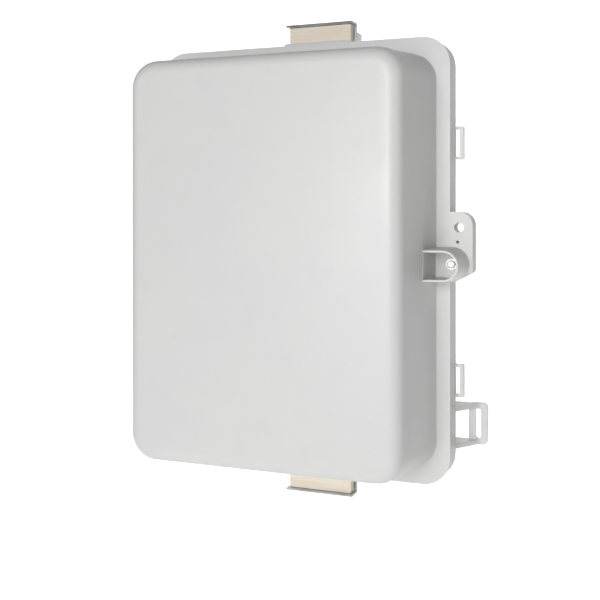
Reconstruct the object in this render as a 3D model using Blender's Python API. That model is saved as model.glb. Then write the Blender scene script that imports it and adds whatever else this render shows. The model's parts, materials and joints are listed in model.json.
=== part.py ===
"""Pole-mounted outdoor wireless bridge: hinged weatherproof case, panel antenna, radio and pole clamps.

Metres, +Z up, the lid faces -Y. The origin is on the axis of the pole, level with the middle of the case.
"""
import math

import bmesh
import bpy
from mathutils import Matrix, Vector
from mathutils.geometry import interpolate_bezier

MM = 0.001

# ---------------------------------------------------------------- driving dimensions
FIT_GAP = 0.3 * MM            # between pieces that touch
RUN_GAP = 0.35 * MM           # round a pin or shaft that turns
PAST = 1.0 * MM               # how far a cutter or a joined piece runs past a face
NUDGE = 0.1 * MM              # keeps the faces of joined pieces out of one plane

POLE_DIAMETER = 60.3 * MM     # nominal 2 inch pipe

# case, measured across the lid's front face and back from the lid's flange
LID_WIDTH = 271.5 * MM
LID_HEIGHT = 385.0 * MM
LID_DEPTH = 104.0 * MM        # front face to flange face
LID_DRAFT = 7.6 * MM          # how much each wall spreads towards the flange
LID_CORNER = 26.0 * MM
LID_FILLET = 12.0 * MM        # round between the front face and the walls
LID_WALL = 3.0 * MM
FLANGE_SIDE = 13.2 * MM       # flange beyond the lid's walls, left and right
FLANGE_END = 16.4 * MM        # the same, top and bottom
FLANGE_CORNER = 27.0 * MM
LID_FLANGE = 5.0 * MM
SEAM = 0.4 * MM

RIM_PLATE = 6.0 * MM
RIM_DEPTH = 26.0 * MM         # lid flange face to the back edge of the skirt
RIM_SKIRT = 3.0 * MM
TUB_INSET = 10.5 * MM         # tub wall inside the flange edge
TUB_WALL = 3.2 * MM
TUB_CORNER = 18.0 * MM
REAR_DEPTH = 58.0 * MM        # lid flange face to the plane of the feet
REAR_RELIEF = 2.0 * MM        # the tub's back stands clear of that plane

GASKET_WIDTH = 3.4 * MM
GASKET_INSET = 7.0 * MM       # middle of the bead inside the flange edge
GROOVE_DEPTH = 3.2 * MM

# loops and hinges share their heights
LOOP_HEIGHT = 32.3 * MM
LOOP_FROM_TOP = 102.2 * MM    # middle below the flange's top edge
LOOP_FROM_BOTTOM = 98.5 * MM  # middle above its bottom edge
LOOP_REACH = 8.8 * MM         # beyond the flange edge
LOOP_THICK = 5.0 * MM
LOOP_SLOT = (4.5 * MM, 26.4 * MM)

HINGE_REACH = 7.0 * MM        # axis beyond the flange edge
HINGE_SETBACK = 22.0 * MM     # axis behind the lid's flange face
HINGE_BARREL = 4.5 * MM
HINGE_PIN = 2.0 * MM
HINGE_KNUCKLE = 8.0 * MM
HINGE_PLAY = 0.4 * MM         # between the lid's arm and each knuckle
ARM_CLEAR = 1.5 * MM          # arm outside the skirt
ARM_ROOT = 6.0 * MM
ARM_CHAMFER = (3.0 * MM, 4.0 * MM)

# hasp at the middle of the right-hand edge
EAR_TOP = 47.0 * MM
EAR_CORNER = 13.0 * MM
EAR_THICK = 11.6 * MM         # the base's ear
LATCH_OUT = 2.2 * MM          # latch screw axis beyond the flange edge
LATCH_Z = -3.0 * MM
LATCH_LIP = 19.5 * MM
EAR_HEEL = 5.5 * MM           # the ear's outer edge ends this far below the latch axis
EAR_FOOT = (2.0 * MM, 17.2 * MM)       # where its sloped underside meets the level one
EAR_NOSE = 4.0 * MM           # round between the outer edge and the underside
POCKET_RADIUS = 14.5 * MM
POCKET_FLARE = 2.0 * MM       # how much its outside widens towards the flange
POCKET_LEDGE = 0.3 * MM       # lid wall left outside the hollow
POCKET_WALL = 1.9 * MM
POCKET_DEPTH = 42.0 * MM
POCKET_FLOOR = 3.0 * MM       # floor in front of the lid's flange face
PADLOCK_HOLE = 4.75 * MM
PADLOCK_AT = (8.5 * MM, 32.0 * MM)     # beyond the flange edge, height
SEAL_WIRE_HOLE = 1.5 * MM
SEAL_WIRE_AT = (7.3 * MM, 18.0 * MM)
SCREW_SHANK = 2.0 * MM
SCREW_HEAD = (4.0 * MM, 3.2 * MM)      # radius, height
SCREW_SOCKET = (2.1 * MM, 2.0 * MM)    # corner radius, depth
SCREW_PLAY = 0.9 * MM                  # swing room in the insert
WASHER = (5.2 * MM, 0.8 * MM)
INSERT_RADIUS = 4.2 * MM

# fixing tabs and feet on the back plane
TAB_WIDER = 1.0 * MM          # tab wider than the pole bracket
TAB_ROOT = 18.0 * MM          # how far the tab runs in behind the tub
TAB_RIB_INSET = 6.0 * MM
TAB_RIB = 3.0 * MM
TAB_RISE = 12.5 * MM          # beyond the flange edge
PLATE_THICK = 4.0 * MM
FOOT_REACH = 26.1 * MM        # beyond the flange edge
FOOT_STRIP = 19.0 * MM        # width of its slotted strip
FOOT_HEIGHT = 41.7 * MM
FOOT_FROM_BOTTOM = 50.9 * MM  # middle above the flange's bottom edge
FOOT_SLOT = (5.6 * MM, 30.0 * MM)
FOOT_SLOT_INSET = 9.5 * MM    # slot axis inside the foot's outer edge
FOOT_ARM = 4.0 * MM
FOOT_ARM_INSET = 0.6 * MM
FOOT_CORNER = 5.0 * MM

# pole bracket, a shallow steel channel with its open side to the case
BRACKET_REACH = 7.35 * MM     # bracket beyond the pole, each side
BRACKET_HEIGHT = 41.3 * MM
BRACKET_DEPTH = 20.6 * MM
BRACKET_STEEL = 2.5 * MM
BRACKET_TOP = 34.0 * MM       # above the flange edge
LOWER_DROP = 6.0 * MM         # the lower bracket and its tab stand this much further out
BLOCK_RECESS = 5.7 * MM
BLOCK_MARGIN = 2.5 * MM
BOLT_X = 25.0 * MM
BOLT_RADIUS = 3.0 * MM
BOLT_UP = 5.0 * MM            # above the channel's lower edge
BOLT_TAIL = 2.0 * MM
HEX_SIDE = 5.77 * MM          # corner radius of an M6 nut and head
HEAD_HEIGHT = 4.0 * MM
NUT_HEIGHT = 5.0 * MM
HOLE_PLAY = 0.4 * MM

BAND_WIDTH = 12.7 * MM
BAND_THICK = 1.0 * MM
BAND_DROP = 12.0 * MM         # middle of the band below the bracket's top
HOUSING = (16.0 * MM, 9.4 * MM, 16.0 * MM)
HOUSING_CORNER = 3.0 * MM
WORM_RADIUS = 3.3 * MM
WORM_ENDS = (1.5 * MM, 0.6 * MM)               # tip and neck beyond the housing
WORM_HEAD = (4.6 * MM, 5.0 * MM)
DRIVE_SLOT = (1.2 * MM, 0.9 * MM)

# inside
PANEL_MARGIN = (12.85 * MM, 17.8 * MM)         # inside the tub's walls, side and end
PANEL_THICK = 2.0 * MM
PANEL_CORNER = 6.0 * MM
BOSS_RADIUS = 6.0 * MM
BOSS_INSET = 13.0 * MM        # boss axis inside the panel's edge
PANEL_SCREW = (2.0 * MM, 4.4 * MM, 3.0 * MM)   # shank radius, head radius, head height
PANEL_DRIVE = (5.0 * MM, 1.1 * MM, 1.3 * MM)   # slot length, width, depth
ANTENNA_MARGIN = 23.75 * MM   # inside the lid's front face
ANTENNA_DROP = 21.0 * MM      # below the panel's top edge
ANTENNA_GAP = 5.0 * MM        # above the radio
ANTENNA_FRONT = 40.0 * MM     # reflector's back, in front of the lid's flange face
ANTENNA_LIP = 13.5 * MM
ANTENNA_SHEET = 1.5 * MM
BOARD_THICK = 1.6 * MM
STANDOFF_INSET = 17.0 * MM
STANDOFF_RADIUS = 4.6 * MM
STANDOFF_STUD = 1.8 * MM
FEED_X = 40.0 * MM
FEED_DROP = 72.0 * MM         # below the antenna's middle
FEED_FLANGE = (12.7 * MM, 1.8 * MM)
FEED_RADIUS = 4.0 * MM
FEED_LENGTH = 10.5 * MM

RADIO_X = (-95.0 * MM, 55.0 * MM)
RADIO_HEIGHT = 100.0 * MM
RADIO_RISE = 20.0 * MM        # above the panel's bottom edge
BOARD_MARGIN = 1.5 * MM
CARRIER_HEIGHT = 8.0 * MM
CARRIER_FLOOR = 3.0 * MM
CARRIER_RIM = 4.0 * MM
SHIELD_X = (-82.0 * MM, -22.0 * MM)
SHIELD_MARGIN = (13.0 * MM, 19.0 * MM)         # inside the radio's bottom and top edges
SHIELD_HEIGHT = 7.0 * MM
SHIELD_WALL = 1.0 * MM
SHIELD_LID = 2.5 * MM
FIN_MARGIN = 3.0 * MM
FIN_HEIGHT = 11.0 * MM
FIN_COUNT = 7
FIN_THICK = 2.0 * MM
COAX_X = (-6.0 * MM, 14.0 * MM)
COAX_DROP = 11.0 * MM         # below the radio's top edge
COAX_FOOT = (9.0 * MM, 2.0 * MM)
COAX_RADIUS = 3.4 * MM
COAX_HEIGHT = 9.0 * MM
COAX_CABLE = 1.5 * MM
JACK_SIZE = (16.0 * MM, 13.5 * MM, 17.0 * MM)
JACK_X = 43.0 * MM
JACK_RISE = 23.0 * MM         # above the radio's bottom edge
SURGE_X = (72.0 * MM, 112.0 * MM)
SURGE_LENGTH = 58.0 * MM
SURGE_RISE = 35.0 * MM        # above the panel's bottom edge
SURGE_HEIGHT = 24.0 * MM
TERMINAL_HEIGHT = 14.0 * MM
TERMINAL_WIDTH = 11.0 * MM
TERMINAL_INSET = 3.0 * MM
TERMINAL_WELL = (2.2 * MM, 3.0 * MM)
TERMINALS = 4
LEAD_RADIUS = 2.5 * MM

# fittings through the bottom wall
FITTING_FORWARD = 2.0 * MM    # their row in front of the middle between rim and feet
PORT_INSET = 71.05 * MM       # axis inside the tub's side, as for the vent
PORT_SHOULDER = 3.0 * MM      # nut's corners beyond the barrel
PORT_FLANGE = (3.5 * MM, 2.6 * MM)             # beyond the barrel, height
PORT_TAIL = 12.6 * MM         # barrel above the wall's inner face
PORT_SEAL = 1.0 * MM
PORT_NUT_HEIGHT = 4.0 * MM
PORT_NUT_CLEAR = 0.8 * MM     # nut's corners to the tub's floor
CAP_WALL = 2.6 * MM
CAP_HEIGHT = 5.6 * MM
CAP_TOP = 1.6 * MM
CAP_SEAL = 0.8 * MM
VENT = (9.0 * MM, 4.2 * MM, 5.0 * MM)          # flange radius, flange height, stem radius
VENT_SLOT = (5.5 * MM, 1.0 * MM, 1.5 * MM)     # distance from the axis, radius, depth
VENT_TAIL = 6.0 * MM
GROUND_INSET = 36.05 * MM     # axis inside the tub's side
GROUND_RADIUS = 3.0 * MM
GROUND_TAIL = 4.0 * MM

# ---------------------------------------------------------------- planes and edges worked out from them
WEB_BACK = -POLE_DIAMETER / 2 - FIT_GAP
WEB_FRONT = WEB_BACK - BRACKET_STEEL
BRACKET_FRONT = WEB_BACK - BRACKET_DEPTH
REAR_PLANE = BRACKET_FRONT - FIT_GAP
LID_PLANE = REAR_PLANE - REAR_DEPTH
LID_BACK = LID_PLANE + LID_FLANGE
LID_FRONT = LID_PLANE - LID_DEPTH
RIM_FRONT = LID_BACK + SEAM
RIM_BACK = LID_PLANE + RIM_DEPTH
TUB_BACK = REAR_PLANE - REAR_RELIEF
TUB_FLOOR = TUB_BACK - TUB_WALL

EDGE_X = LID_WIDTH / 2 + LID_DRAFT + FLANGE_SIDE
EDGE_Z = LID_HEIGHT / 2 + LID_DRAFT + FLANGE_END
TUB_X = EDGE_X - TUB_INSET
TUB_Z = EDGE_Z - TUB_INSET

LOOP_UPPER = EDGE_Z - LOOP_FROM_TOP
LOOP_LOWER = LOOP_FROM_BOTTOM - EDGE_Z
FOOT_Z = FOOT_FROM_BOTTOM - EDGE_Z
BRACKET_LENGTH = POLE_DIAMETER + 2 * BRACKET_REACH
TAB_WIDTH = BRACKET_LENGTH + TAB_WIDER

HINGE_X = -EDGE_X - HINGE_REACH
HINGE_Y = LID_PLANE + HINGE_SETBACK
LATCH_X = EDGE_X + LATCH_OUT
PANEL_X = TUB_X - TUB_WALL - PANEL_MARGIN[0]
PANEL_Z = TUB_Z - TUB_WALL - PANEL_MARGIN[1]
FITTING_Y = (RIM_BACK + REAR_PLANE) / 2 - FITTING_FORWARD
PANEL_FRONT = FITTING_Y + LEAD_RADIUS
PANEL_BACK = PANEL_FRONT + PANEL_THICK

ANTENNA_SIDE = min(LID_WIDTH - 2 * ANTENNA_MARGIN,
                   2 * PANEL_Z - ANTENNA_DROP - ANTENNA_GAP - RADIO_HEIGHT - RADIO_RISE)
ANTENNA_Z = PANEL_Z - ANTENNA_DROP - ANTENNA_SIDE / 2
FEED_Z = ANTENNA_Z - FEED_DROP
RADIO_Z = (RADIO_RISE - PANEL_Z, RADIO_RISE - PANEL_Z + RADIO_HEIGHT)
SHIELD_Z = (RADIO_Z[0] + SHIELD_MARGIN[0], RADIO_Z[1] - SHIELD_MARGIN[1])
COAX_Z = RADIO_Z[1] - COAX_DROP
JACK_Z = RADIO_Z[0] + JACK_RISE
SURGE_Z = (SURGE_RISE - PANEL_Z, SURGE_RISE - PANEL_Z + SURGE_LENGTH)

PORT_NUT = TUB_FLOOR - FITTING_Y - PORT_NUT_CLEAR
PORT_BARREL = PORT_NUT - PORT_SHOULDER
CAP_RADIUS = PORT_BARREL + CAP_WALL
PORT_X = TUB_X - PORT_INSET
VENT_X = -PORT_X
GROUND_X = TUB_X - GROUND_INSET

ROUND = 28                    # sides of a small round piece
CORNER_STEPS = 6


# ---------------------------------------------------------------- helpers
def clear_scene():
    for thing in list(bpy.data.objects):
        bpy.data.objects.remove(thing, do_unlink=True)
    for group in list(bpy.data.collections):
        bpy.data.collections.remove(group)


def make_collection(name):
    group = bpy.data.collections.new(name)
    bpy.context.scene.collection.children.link(group)
    return group


def finish(name, color, roughness, metallic=0.0):
    material = bpy.data.materials.new(name)
    material.use_nodes = True
    shader = material.node_tree.nodes["Principled BSDF"]
    shader.inputs["Base Color"].default_value = (*color, 1.0)
    shader.inputs["Roughness"].default_value = roughness
    shader.inputs["Metallic"].default_value = metallic
    return material


def object_from(bm, name, centre):
    mesh = bpy.data.meshes.new(name)
    bmesh.ops.recalc_face_normals(bm, faces=bm.faces)
    bm.to_mesh(mesh)
    bm.free()
    mesh.shade_smooth()
    mesh.set_sharp_from_angle(angle=math.radians(30))
    thing = bpy.data.objects.new(name, mesh)
    thing.location = centre
    parts.objects.link(thing)
    return thing


AXES = {
    "X": Matrix(((0, 0, 1), (1, 0, 0), (0, 1, 0))).to_4x4(),
    "Y": Matrix.Rotation(math.radians(90), 4, "X"),
    "Z": Matrix.Identity(4),
}


def block(name, x, y, z, corner=0.0, along="Y", steps=CORNER_STEPS, draft=0.0, fillet=0.0):
    """A box between three ranges. corner rounds the edges that run along one axis.
    draft narrows its -Y end, and fillet rounds the edges round that end."""
    centre = Vector(((x[0] + x[1]) / 2, (y[0] + y[1]) / 2, (z[0] + z[1]) / 2))
    size = Vector((x[1] - x[0], y[1] - y[0], z[1] - z[0]))
    bm = bmesh.new()
    bmesh.ops.create_cube(bm, size=1.0)
    for vert in bm.verts:
        vert.co = Vector(a * b for a, b in zip(vert.co, size))
        if draft and vert.co.y < 0:
            vert.co.x -= math.copysign(draft, vert.co.x)
            vert.co.z -= math.copysign(draft, vert.co.z)
    if corner:
        number = "XYZ".index(along)
        edges = [e for e in bm.edges if abs((e.verts[0].co - e.verts[1].co)[number]) > size[number] * 0.9]
        bmesh.ops.bevel(bm, geom=edges, offset=corner, segments=steps, profile=0.5, affect="EDGES")
    if fillet:
        low = -size.y / 2 + 1e-6
        rim = [e for e in bm.edges if all(v.co.y < low for v in e.verts)]
        bmesh.ops.bevel(bm, geom=rim, offset=fillet, segments=4, profile=0.5, affect="EDGES")
    return object_from(bm, name, centre)


def round_bar(name, along, at, span, radius, sides=ROUND, turn=0.0):
    """A cylinder along one axis. at gives its place on the other two, in X, Y, Z order."""
    bm = bmesh.new()
    bmesh.ops.create_cone(bm, cap_ends=True, segments=sides, radius1=radius, radius2=radius,
                          depth=span[1] - span[0])
    bmesh.ops.transform(bm, matrix=AXES[along] @ Matrix.Rotation(turn, 4, "Z"), verts=bm.verts)
    centre = list(at)
    centre.insert("XYZ".index(along), (span[0] + span[1]) / 2)
    return object_from(bm, name, centre)


def arc(cx, cy, radius, start, end, steps):
    """Points on a circle from one angle to another, in degrees."""
    angles = [math.radians(start + (end - start) * i / steps) for i in range(steps + 1)]
    return [(cx + radius * math.cos(a), cy + radius * math.sin(a)) for a in angles]


def rounded_outline(half_u, half_v, radius):
    points = []
    for quarter, (su, sv) in enumerate(((1, 1), (-1, 1), (-1, -1), (1, -1))):
        start = 90 * quarter
        points += arc(su * (half_u - radius), sv * (half_v - radius), radius, start, start + 90, CORNER_STEPS)
    return points


def slab(name, outlines, along, span):
    """A flat outline, with any holes, given thickness along one axis."""
    curve = bpy.data.curves.new(name, "CURVE")
    curve.dimensions = "2D"
    curve.fill_mode = "BOTH"
    curve.extrude = (span[1] - span[0]) / 2
    for outline in outlines:
        spline = curve.splines.new("POLY")
        spline.points.add(len(outline) - 1)
        for point, (u, v) in zip(spline.points, outline):
            point.co = (u, v, 0.0, 1.0)
        spline.use_cyclic_u = True
    guide = bpy.data.objects.new(name, curve)
    parts.objects.link(guide)
    mesh = bpy.data.meshes.new_from_object(guide.evaluated_get(bpy.context.evaluated_depsgraph_get()))
    bpy.data.objects.remove(guide, do_unlink=True)
    bm = bmesh.new()
    bm.from_mesh(mesh)
    bmesh.ops.remove_doubles(bm, verts=bm.verts, dist=1e-6)
    bmesh.ops.transform(bm, matrix=AXES[along], verts=bm.verts)
    centre = [0.0, 0.0, 0.0]
    centre["XYZ".index(along)] = (span[0] + span[1]) / 2
    return object_from(bm, name, centre)


def tapered(name, front, back, span):
    """A solid between two outlines of as many points, one at each end of a range along Y."""
    bm = bmesh.new()
    rings = [[bm.verts.new((u, y, v)) for u, v in outline]
             for outline, y in ((front, span[0]), (back, span[1]))]
    for number in range(len(front)):
        after = (number + 1) % len(front)
        bm.faces.new((rings[0][number], rings[0][after], rings[1][after], rings[1][number]))
    for ring in rings:
        bm.faces.new(ring)
    return object_from(bm, name, (0.0, 0.0, 0.0))


def smooth_route(points, per_span=5):
    """A smooth curve through the points, with a handle at each point along its neighbours."""
    knots = [Vector(p) for p in points]
    slopes = [(knots[min(i + 1, len(knots) - 1)] - knots[max(i - 1, 0)]) / 6 for i in range(len(knots))]
    slopes[0] = slopes[0] * 2
    slopes[-1] = slopes[-1] * 2
    route = [knots[0]]
    for a, b, sa, sb in zip(knots, knots[1:], slopes, slopes[1:]):
        route += interpolate_bezier(a, a + sa, b - sb, b, per_span + 1)[1:]
    return route


def lead(name, points, radius):
    """A cable along a smooth route, as a bevelled curve with closed ends."""
    route = smooth_route(points)
    curve = bpy.data.curves.new(name, "CURVE")
    curve.dimensions = "3D"
    curve.bevel_depth = radius
    curve.bevel_resolution = 2
    curve.use_fill_caps = True
    spline = curve.splines.new("POLY")
    spline.points.add(len(route) - 1)
    for point, place in zip(spline.points, route):
        point.co = (*place, 1.0)
    spline.use_smooth = True
    thing = bpy.data.objects.new(name, curve)
    parts.objects.link(thing)
    return thing


def combine(part, tool, operation):
    modifier = part.modifiers.new(tool.name, "BOOLEAN")
    modifier.operation = operation
    modifier.solver = "EXACT"
    modifier.object = tool
    if tool.name not in cutters.objects:
        parts.objects.unlink(tool)
        cutters.objects.link(tool)
    tool.hide_render = True
    tool.display_type = "WIRE"


def add(part, *tools):
    for tool in tools:
        combine(part, tool, "UNION")


def cut(part, *tools):
    for tool in tools:
        combine(part, tool, "DIFFERENCE")


def carry(empty_name, place, *things):
    """Parent pieces to an empty on their joint's axis, without moving them."""
    empty = bpy.data.objects.new(empty_name, None)
    empty.location = place
    empty.empty_display_size = 0.02
    parts.objects.link(empty)
    offset = Matrix.Translation(-Vector(place))
    for thing in things:
        thing.parent = empty
        thing.matrix_parent_inverse = offset
    return empty


def paint(material, *things):
    for thing in things:
        thing.data.materials.clear()
        thing.data.materials.append(material)


def both(value):
    return (-value, value)


def around(middle, width):
    return (middle - width / 2, middle + width / 2)


def beyond(reach, side):
    """Height past the flange's top or bottom edge, for a bracket or its tab."""
    return EDGE_Z + reach + (LOWER_DROP if side < 0 else 0.0)


# ---------------------------------------------------------------- case
def hinge_zones():
    return {"upper": LOOP_UPPER, "lower": LOOP_LOWER}


def ear_plate(name, span):
    """The plate of a hasp ear: an upright with one round corner, and a sloped underside below the latch."""
    outer = LATCH_X + LATCH_LIP
    inner = EDGE_X - RIM_SKIRT * 0.7
    outline = [(inner, EAR_TOP), (inner, LATCH_Z - EAR_FOOT[1]), (LATCH_X + EAR_FOOT[0], LATCH_Z - EAR_FOOT[1])]
    outline += arc(outer - EAR_NOSE, LATCH_Z - EAR_HEEL, EAR_NOSE, -60, 0, 4)
    outline += arc(outer - EAR_CORNER, EAR_TOP - EAR_CORNER, EAR_CORNER, 0, 90, 8)
    return slab(name, [outline], "Y", span)


def round_ended(inner, radius):
    """From a straight inner end to a half circle round the latch screw."""
    return ([(inner, LATCH_Z - radius)] + arc(LATCH_X, LATCH_Z, radius, -90, 90, 18)
            + [(inner, LATCH_Z + radius)])


def hasp_holes(tag, span):
    padlock = round_bar("padlock_hole_" + tag, "Y", (EDGE_X + PADLOCK_AT[0], PADLOCK_AT[1]), span,
                        PADLOCK_HOLE)
    wire = round_bar("seal_wire_hole_" + tag, "Y", (EDGE_X + SEAL_WIRE_AT[0], SEAL_WIRE_AT[1]), span,
                     SEAL_WIRE_HOLE, 16)
    return padlock, wire


def build_lid():
    overlap = LID_FLANGE / 2
    spread = LID_DRAFT * (LID_DEPTH + overlap) / LID_DEPTH
    wall_x = LID_WIDTH / 2 + spread
    wall_z = LID_HEIGHT / 2 + spread
    lid = block("lid_cover", both(wall_x), (LID_FRONT, LID_PLANE + overlap), both(wall_z), LID_CORNER,
                draft=spread, fillet=LID_FILLET, steps=8)
    flange = block("lid_flange", both(EDGE_X), (LID_PLANE, LID_BACK), both(EDGE_Z), FLANGE_CORNER, steps=8)
    add(lid, flange)

    add(lid, ear_plate("lid_ear", (LID_PLANE + 2 * NUDGE, LID_BACK - NUDGE)))

    side_x = LID_WIDTH / 2
    add(lid, tapered("hasp_pocket", round_ended(side_x, POCKET_RADIUS),
                     round_ended(side_x, POCKET_RADIUS + POCKET_FLARE),
                     (LID_PLANE - POCKET_DEPTH, LID_PLANE + overlap)))

    for tag, middle in hinge_zones().items():
        arm_z = around(middle, LOOP_HEIGHT - 2 * HINGE_KNUCKLE - 2 * HINGE_PLAY)
        outer = HINGE_X - HINGE_BARREL
        inner = -EDGE_X - ARM_CLEAR
        arm = slab("hinge_arm_" + tag, [[
            (-EDGE_X + ARM_ROOT, LID_PLANE + 3 * NUDGE),
            (outer + ARM_CHAMFER[0], LID_PLANE + 3 * NUDGE),
            (outer, LID_PLANE + ARM_CHAMFER[1]),
            (outer, HINGE_Y),
            (inner, HINGE_Y),
            (inner, LID_BACK - 2 * NUDGE),
            (-EDGE_X + ARM_ROOT, LID_BACK - 2 * NUDGE),
        ]], "Z", arm_z)
        eye_z = (arm_z[0] + NUDGE / 2, arm_z[1] - NUDGE / 2)
        eye = round_bar("hinge_eye_" + tag, "Z", (HINGE_X, HINGE_Y), eye_z, HINGE_BARREL - NUDGE / 5)
        add(lid, arm, eye)

    cavity_x = wall_x - LID_WALL
    cavity_z = wall_z - LID_WALL
    cavity = block("lid_cavity", both(cavity_x), (LID_FRONT + LID_WALL, LID_PLANE + overlap),
                   both(cavity_z), LID_CORNER - LID_WALL, draft=spread, fillet=LID_FILLET - LID_WALL, steps=8)
    mouth = block("lid_mouth", both(cavity_x - 4 * NUDGE), (LID_PLANE - PAST, LID_BACK + 2 * PAST),
                  both(cavity_z - 4 * NUDGE), LID_CORNER - LID_WALL, steps=8)
    cut(lid, cavity, mouth)

    room = POCKET_RADIUS - POCKET_WALL
    room_y = (LID_PLANE - POCKET_DEPTH - PAST, LID_PLANE - POCKET_FLOOR)
    wall_at = [side_x + LID_DRAFT * (y - LID_FRONT) / LID_DEPTH + POCKET_LEDGE for y in room_y]
    hollow = tapered("pocket_hollow", round_ended(wall_at[0], room), round_ended(wall_at[1], room), room_y)
    through = (LID_PLANE - POCKET_FLOOR - PAST, LID_BACK + PAST)
    shank_hole = round_bar("latch_shank_hole", "Y", (LATCH_X, LATCH_Z), through, SCREW_SHANK + RUN_GAP)
    cut(lid, hollow, shank_hole)
    cut(lid, *hasp_holes("lid", (LID_PLANE - PAST, LID_BACK + PAST)))
    for tag, middle in hinge_zones().items():
        cut(lid, round_bar("arm_bore_" + tag, "Z", (HINGE_X, HINGE_Y), around(middle, LOOP_HEIGHT),
                           HINGE_PIN + RUN_GAP, 20))
    return lid


def build_base():
    base = block("base_housing", both(EDGE_X), (RIM_FRONT, RIM_BACK), both(EDGE_Z), FLANGE_CORNER, steps=8)
    under = block("rim_underside", both(EDGE_X - RIM_SKIRT), (RIM_FRONT + RIM_PLATE, RIM_BACK + 2 * PAST),
                  both(EDGE_Z - RIM_SKIRT), FLANGE_CORNER - RIM_SKIRT, steps=8)
    cut(base, under)
    tub = block("tub", both(TUB_X), (RIM_FRONT + 2 * PAST, TUB_BACK), both(TUB_Z), TUB_CORNER)
    add(base, tub)

    for tag, side in (("top", 1), ("bottom", -1)):
        reach = sorted((side * (TUB_Z - TAB_ROOT), side * beyond(TAB_RISE, side)))
        tab = block("tab_" + tag, both(TAB_WIDTH / 2), (REAR_PLANE - PLATE_THICK, REAR_PLANE), reach,
                    3 * MM)
        add(base, tab)
        for rib_side in (-1, 1):
            rib_x = around(rib_side * (TAB_WIDTH / 2 - TAB_RIB_INSET), TAB_RIB)
            rib_z = sorted((side * (TUB_Z - 1.5 * MM), side * (EDGE_Z - PAST)))
            rib = block("tab_rib_%s_%d" % (tag, rib_side), rib_x,
                        (RIM_BACK + 4 * MM, REAR_PLANE - PLATE_THICK + PAST), rib_z)
            add(base, rib)

    for tag, side in (("right", 1), ("left", -1)):
        outer = EDGE_X + FOOT_REACH
        root = TUB_X - TUB_WALL / 2
        foot_x = sorted((side * (outer - FOOT_STRIP), side * outer))
        foot_z = around(FOOT_Z, FOOT_HEIGHT)
        foot = block("foot_" + tag, foot_x, (REAR_PLANE - PLATE_THICK, REAR_PLANE), foot_z, FOOT_CORNER)
        add(base, foot)
        for end in (-1, 1):
            arm_mid = FOOT_Z + end * ((FOOT_HEIGHT - FOOT_ARM) / 2 - FOOT_ARM_INSET)
            outline = [
                (side * root, RIM_BACK - 2 * PAST),
                (side * (EDGE_X - RIM_SKIRT / 2), RIM_BACK - 2 * PAST),
                (side * (outer - FOOT_SLOT_INSET), REAR_PLANE - PLATE_THICK - 2 * PAST),
                (side * (outer - FOOT_CORNER), REAR_PLANE - PLATE_THICK / 2),
                (side * (outer - FOOT_CORNER), REAR_PLANE - 2 * NUDGE),
                (side * root, REAR_PLANE - 2 * NUDGE),
            ]
            arm = slab("foot_arm_%s_%d" % (tag, end), [outline], "Z", around(arm_mid, FOOT_ARM))
            add(base, arm)
        slot_x = side * (outer - FOOT_SLOT_INSET)
        slot = block("foot_slot_" + tag, around(slot_x, FOOT_SLOT[0]),
                     (REAR_PLANE - PLATE_THICK - 12 * MM, REAR_PLANE + 2 * PAST),
                     around(FOOT_Z, FOOT_SLOT[1]), FOOT_SLOT[0] * 0.49, steps=4)
        cut(base, slot)

    loop_y = (RIM_BACK - LOOP_THICK, RIM_BACK - 2 * NUDGE)
    for tag, middle in hinge_zones().items():
        loop = block("loop_" + tag, (EDGE_X - 1.4 * MM, EDGE_X + LOOP_REACH), loop_y,
                     around(middle, LOOP_HEIGHT), 1.2 * MM, steps=2)
        slot = block("loop_slot_" + tag, (EDGE_X + 4 * NUDGE, EDGE_X + 4 * NUDGE + LOOP_SLOT[0]),
                     (loop_y[0] - 2 * PAST, loop_y[1] + 2 * PAST), around(middle, LOOP_SLOT[1]))
        cut(loop, slot)
        add(base, loop)
        for end in (-1, 1):
            z = around(middle + end * (LOOP_HEIGHT - HINGE_KNUCKLE) / 2, HINGE_KNUCKLE)
            web = block("knuckle_web_%s_%d" % (tag, end), (HINGE_X, -EDGE_X + 1.4 * MM),
                        (HINGE_Y - HINGE_BARREL + NUDGE, HINGE_Y + HINGE_BARREL - PAST), z)
            barrel = round_bar("knuckle_%s_%d" % (tag, end), "Z", (HINGE_X, HINGE_Y),
                               (z[0] + NUDGE / 2, z[1] - NUDGE / 2), HINGE_BARREL)
            add(base, web, barrel)
        cut(base, round_bar("knuckle_bore_" + tag, "Z", (HINGE_X, HINGE_Y),
                            around(middle, LOOP_HEIGHT + 2 * PAST), HINGE_PIN + FIT_GAP, 20))

    add(base, ear_plate("base_ear", (RIM_FRONT + NUDGE, RIM_FRONT + EAR_THICK)))
    through = (RIM_FRONT - PAST, RIM_FRONT + EAR_THICK + PAST)
    insert_hole = round_bar("insert_hole", "Y", (LATCH_X, LATCH_Z), through, INSERT_RADIUS + FIT_GAP)

    cavity = block("tub_cavity", both(TUB_X - TUB_WALL), (RIM_FRONT - 2 * PAST, TUB_FLOOR),
                   both(TUB_Z - TUB_WALL), TUB_CORNER - TUB_WALL)
    cut(base, cavity, insert_hole)
    cut(base, *hasp_holes("base", through))

    middle = GASKET_INSET
    half = GASKET_WIDTH / 2 + FIT_GAP
    groove = slab("gasket_groove", [
        rounded_outline(EDGE_X - middle + half, EDGE_Z - middle + half, FLANGE_CORNER - middle + half),
        rounded_outline(EDGE_X - middle - half, EDGE_Z - middle - half, FLANGE_CORNER - middle - half),
    ], "Y", (RIM_FRONT - PAST, RIM_FRONT + GROOVE_DEPTH))
    cut(base, groove)

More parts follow.
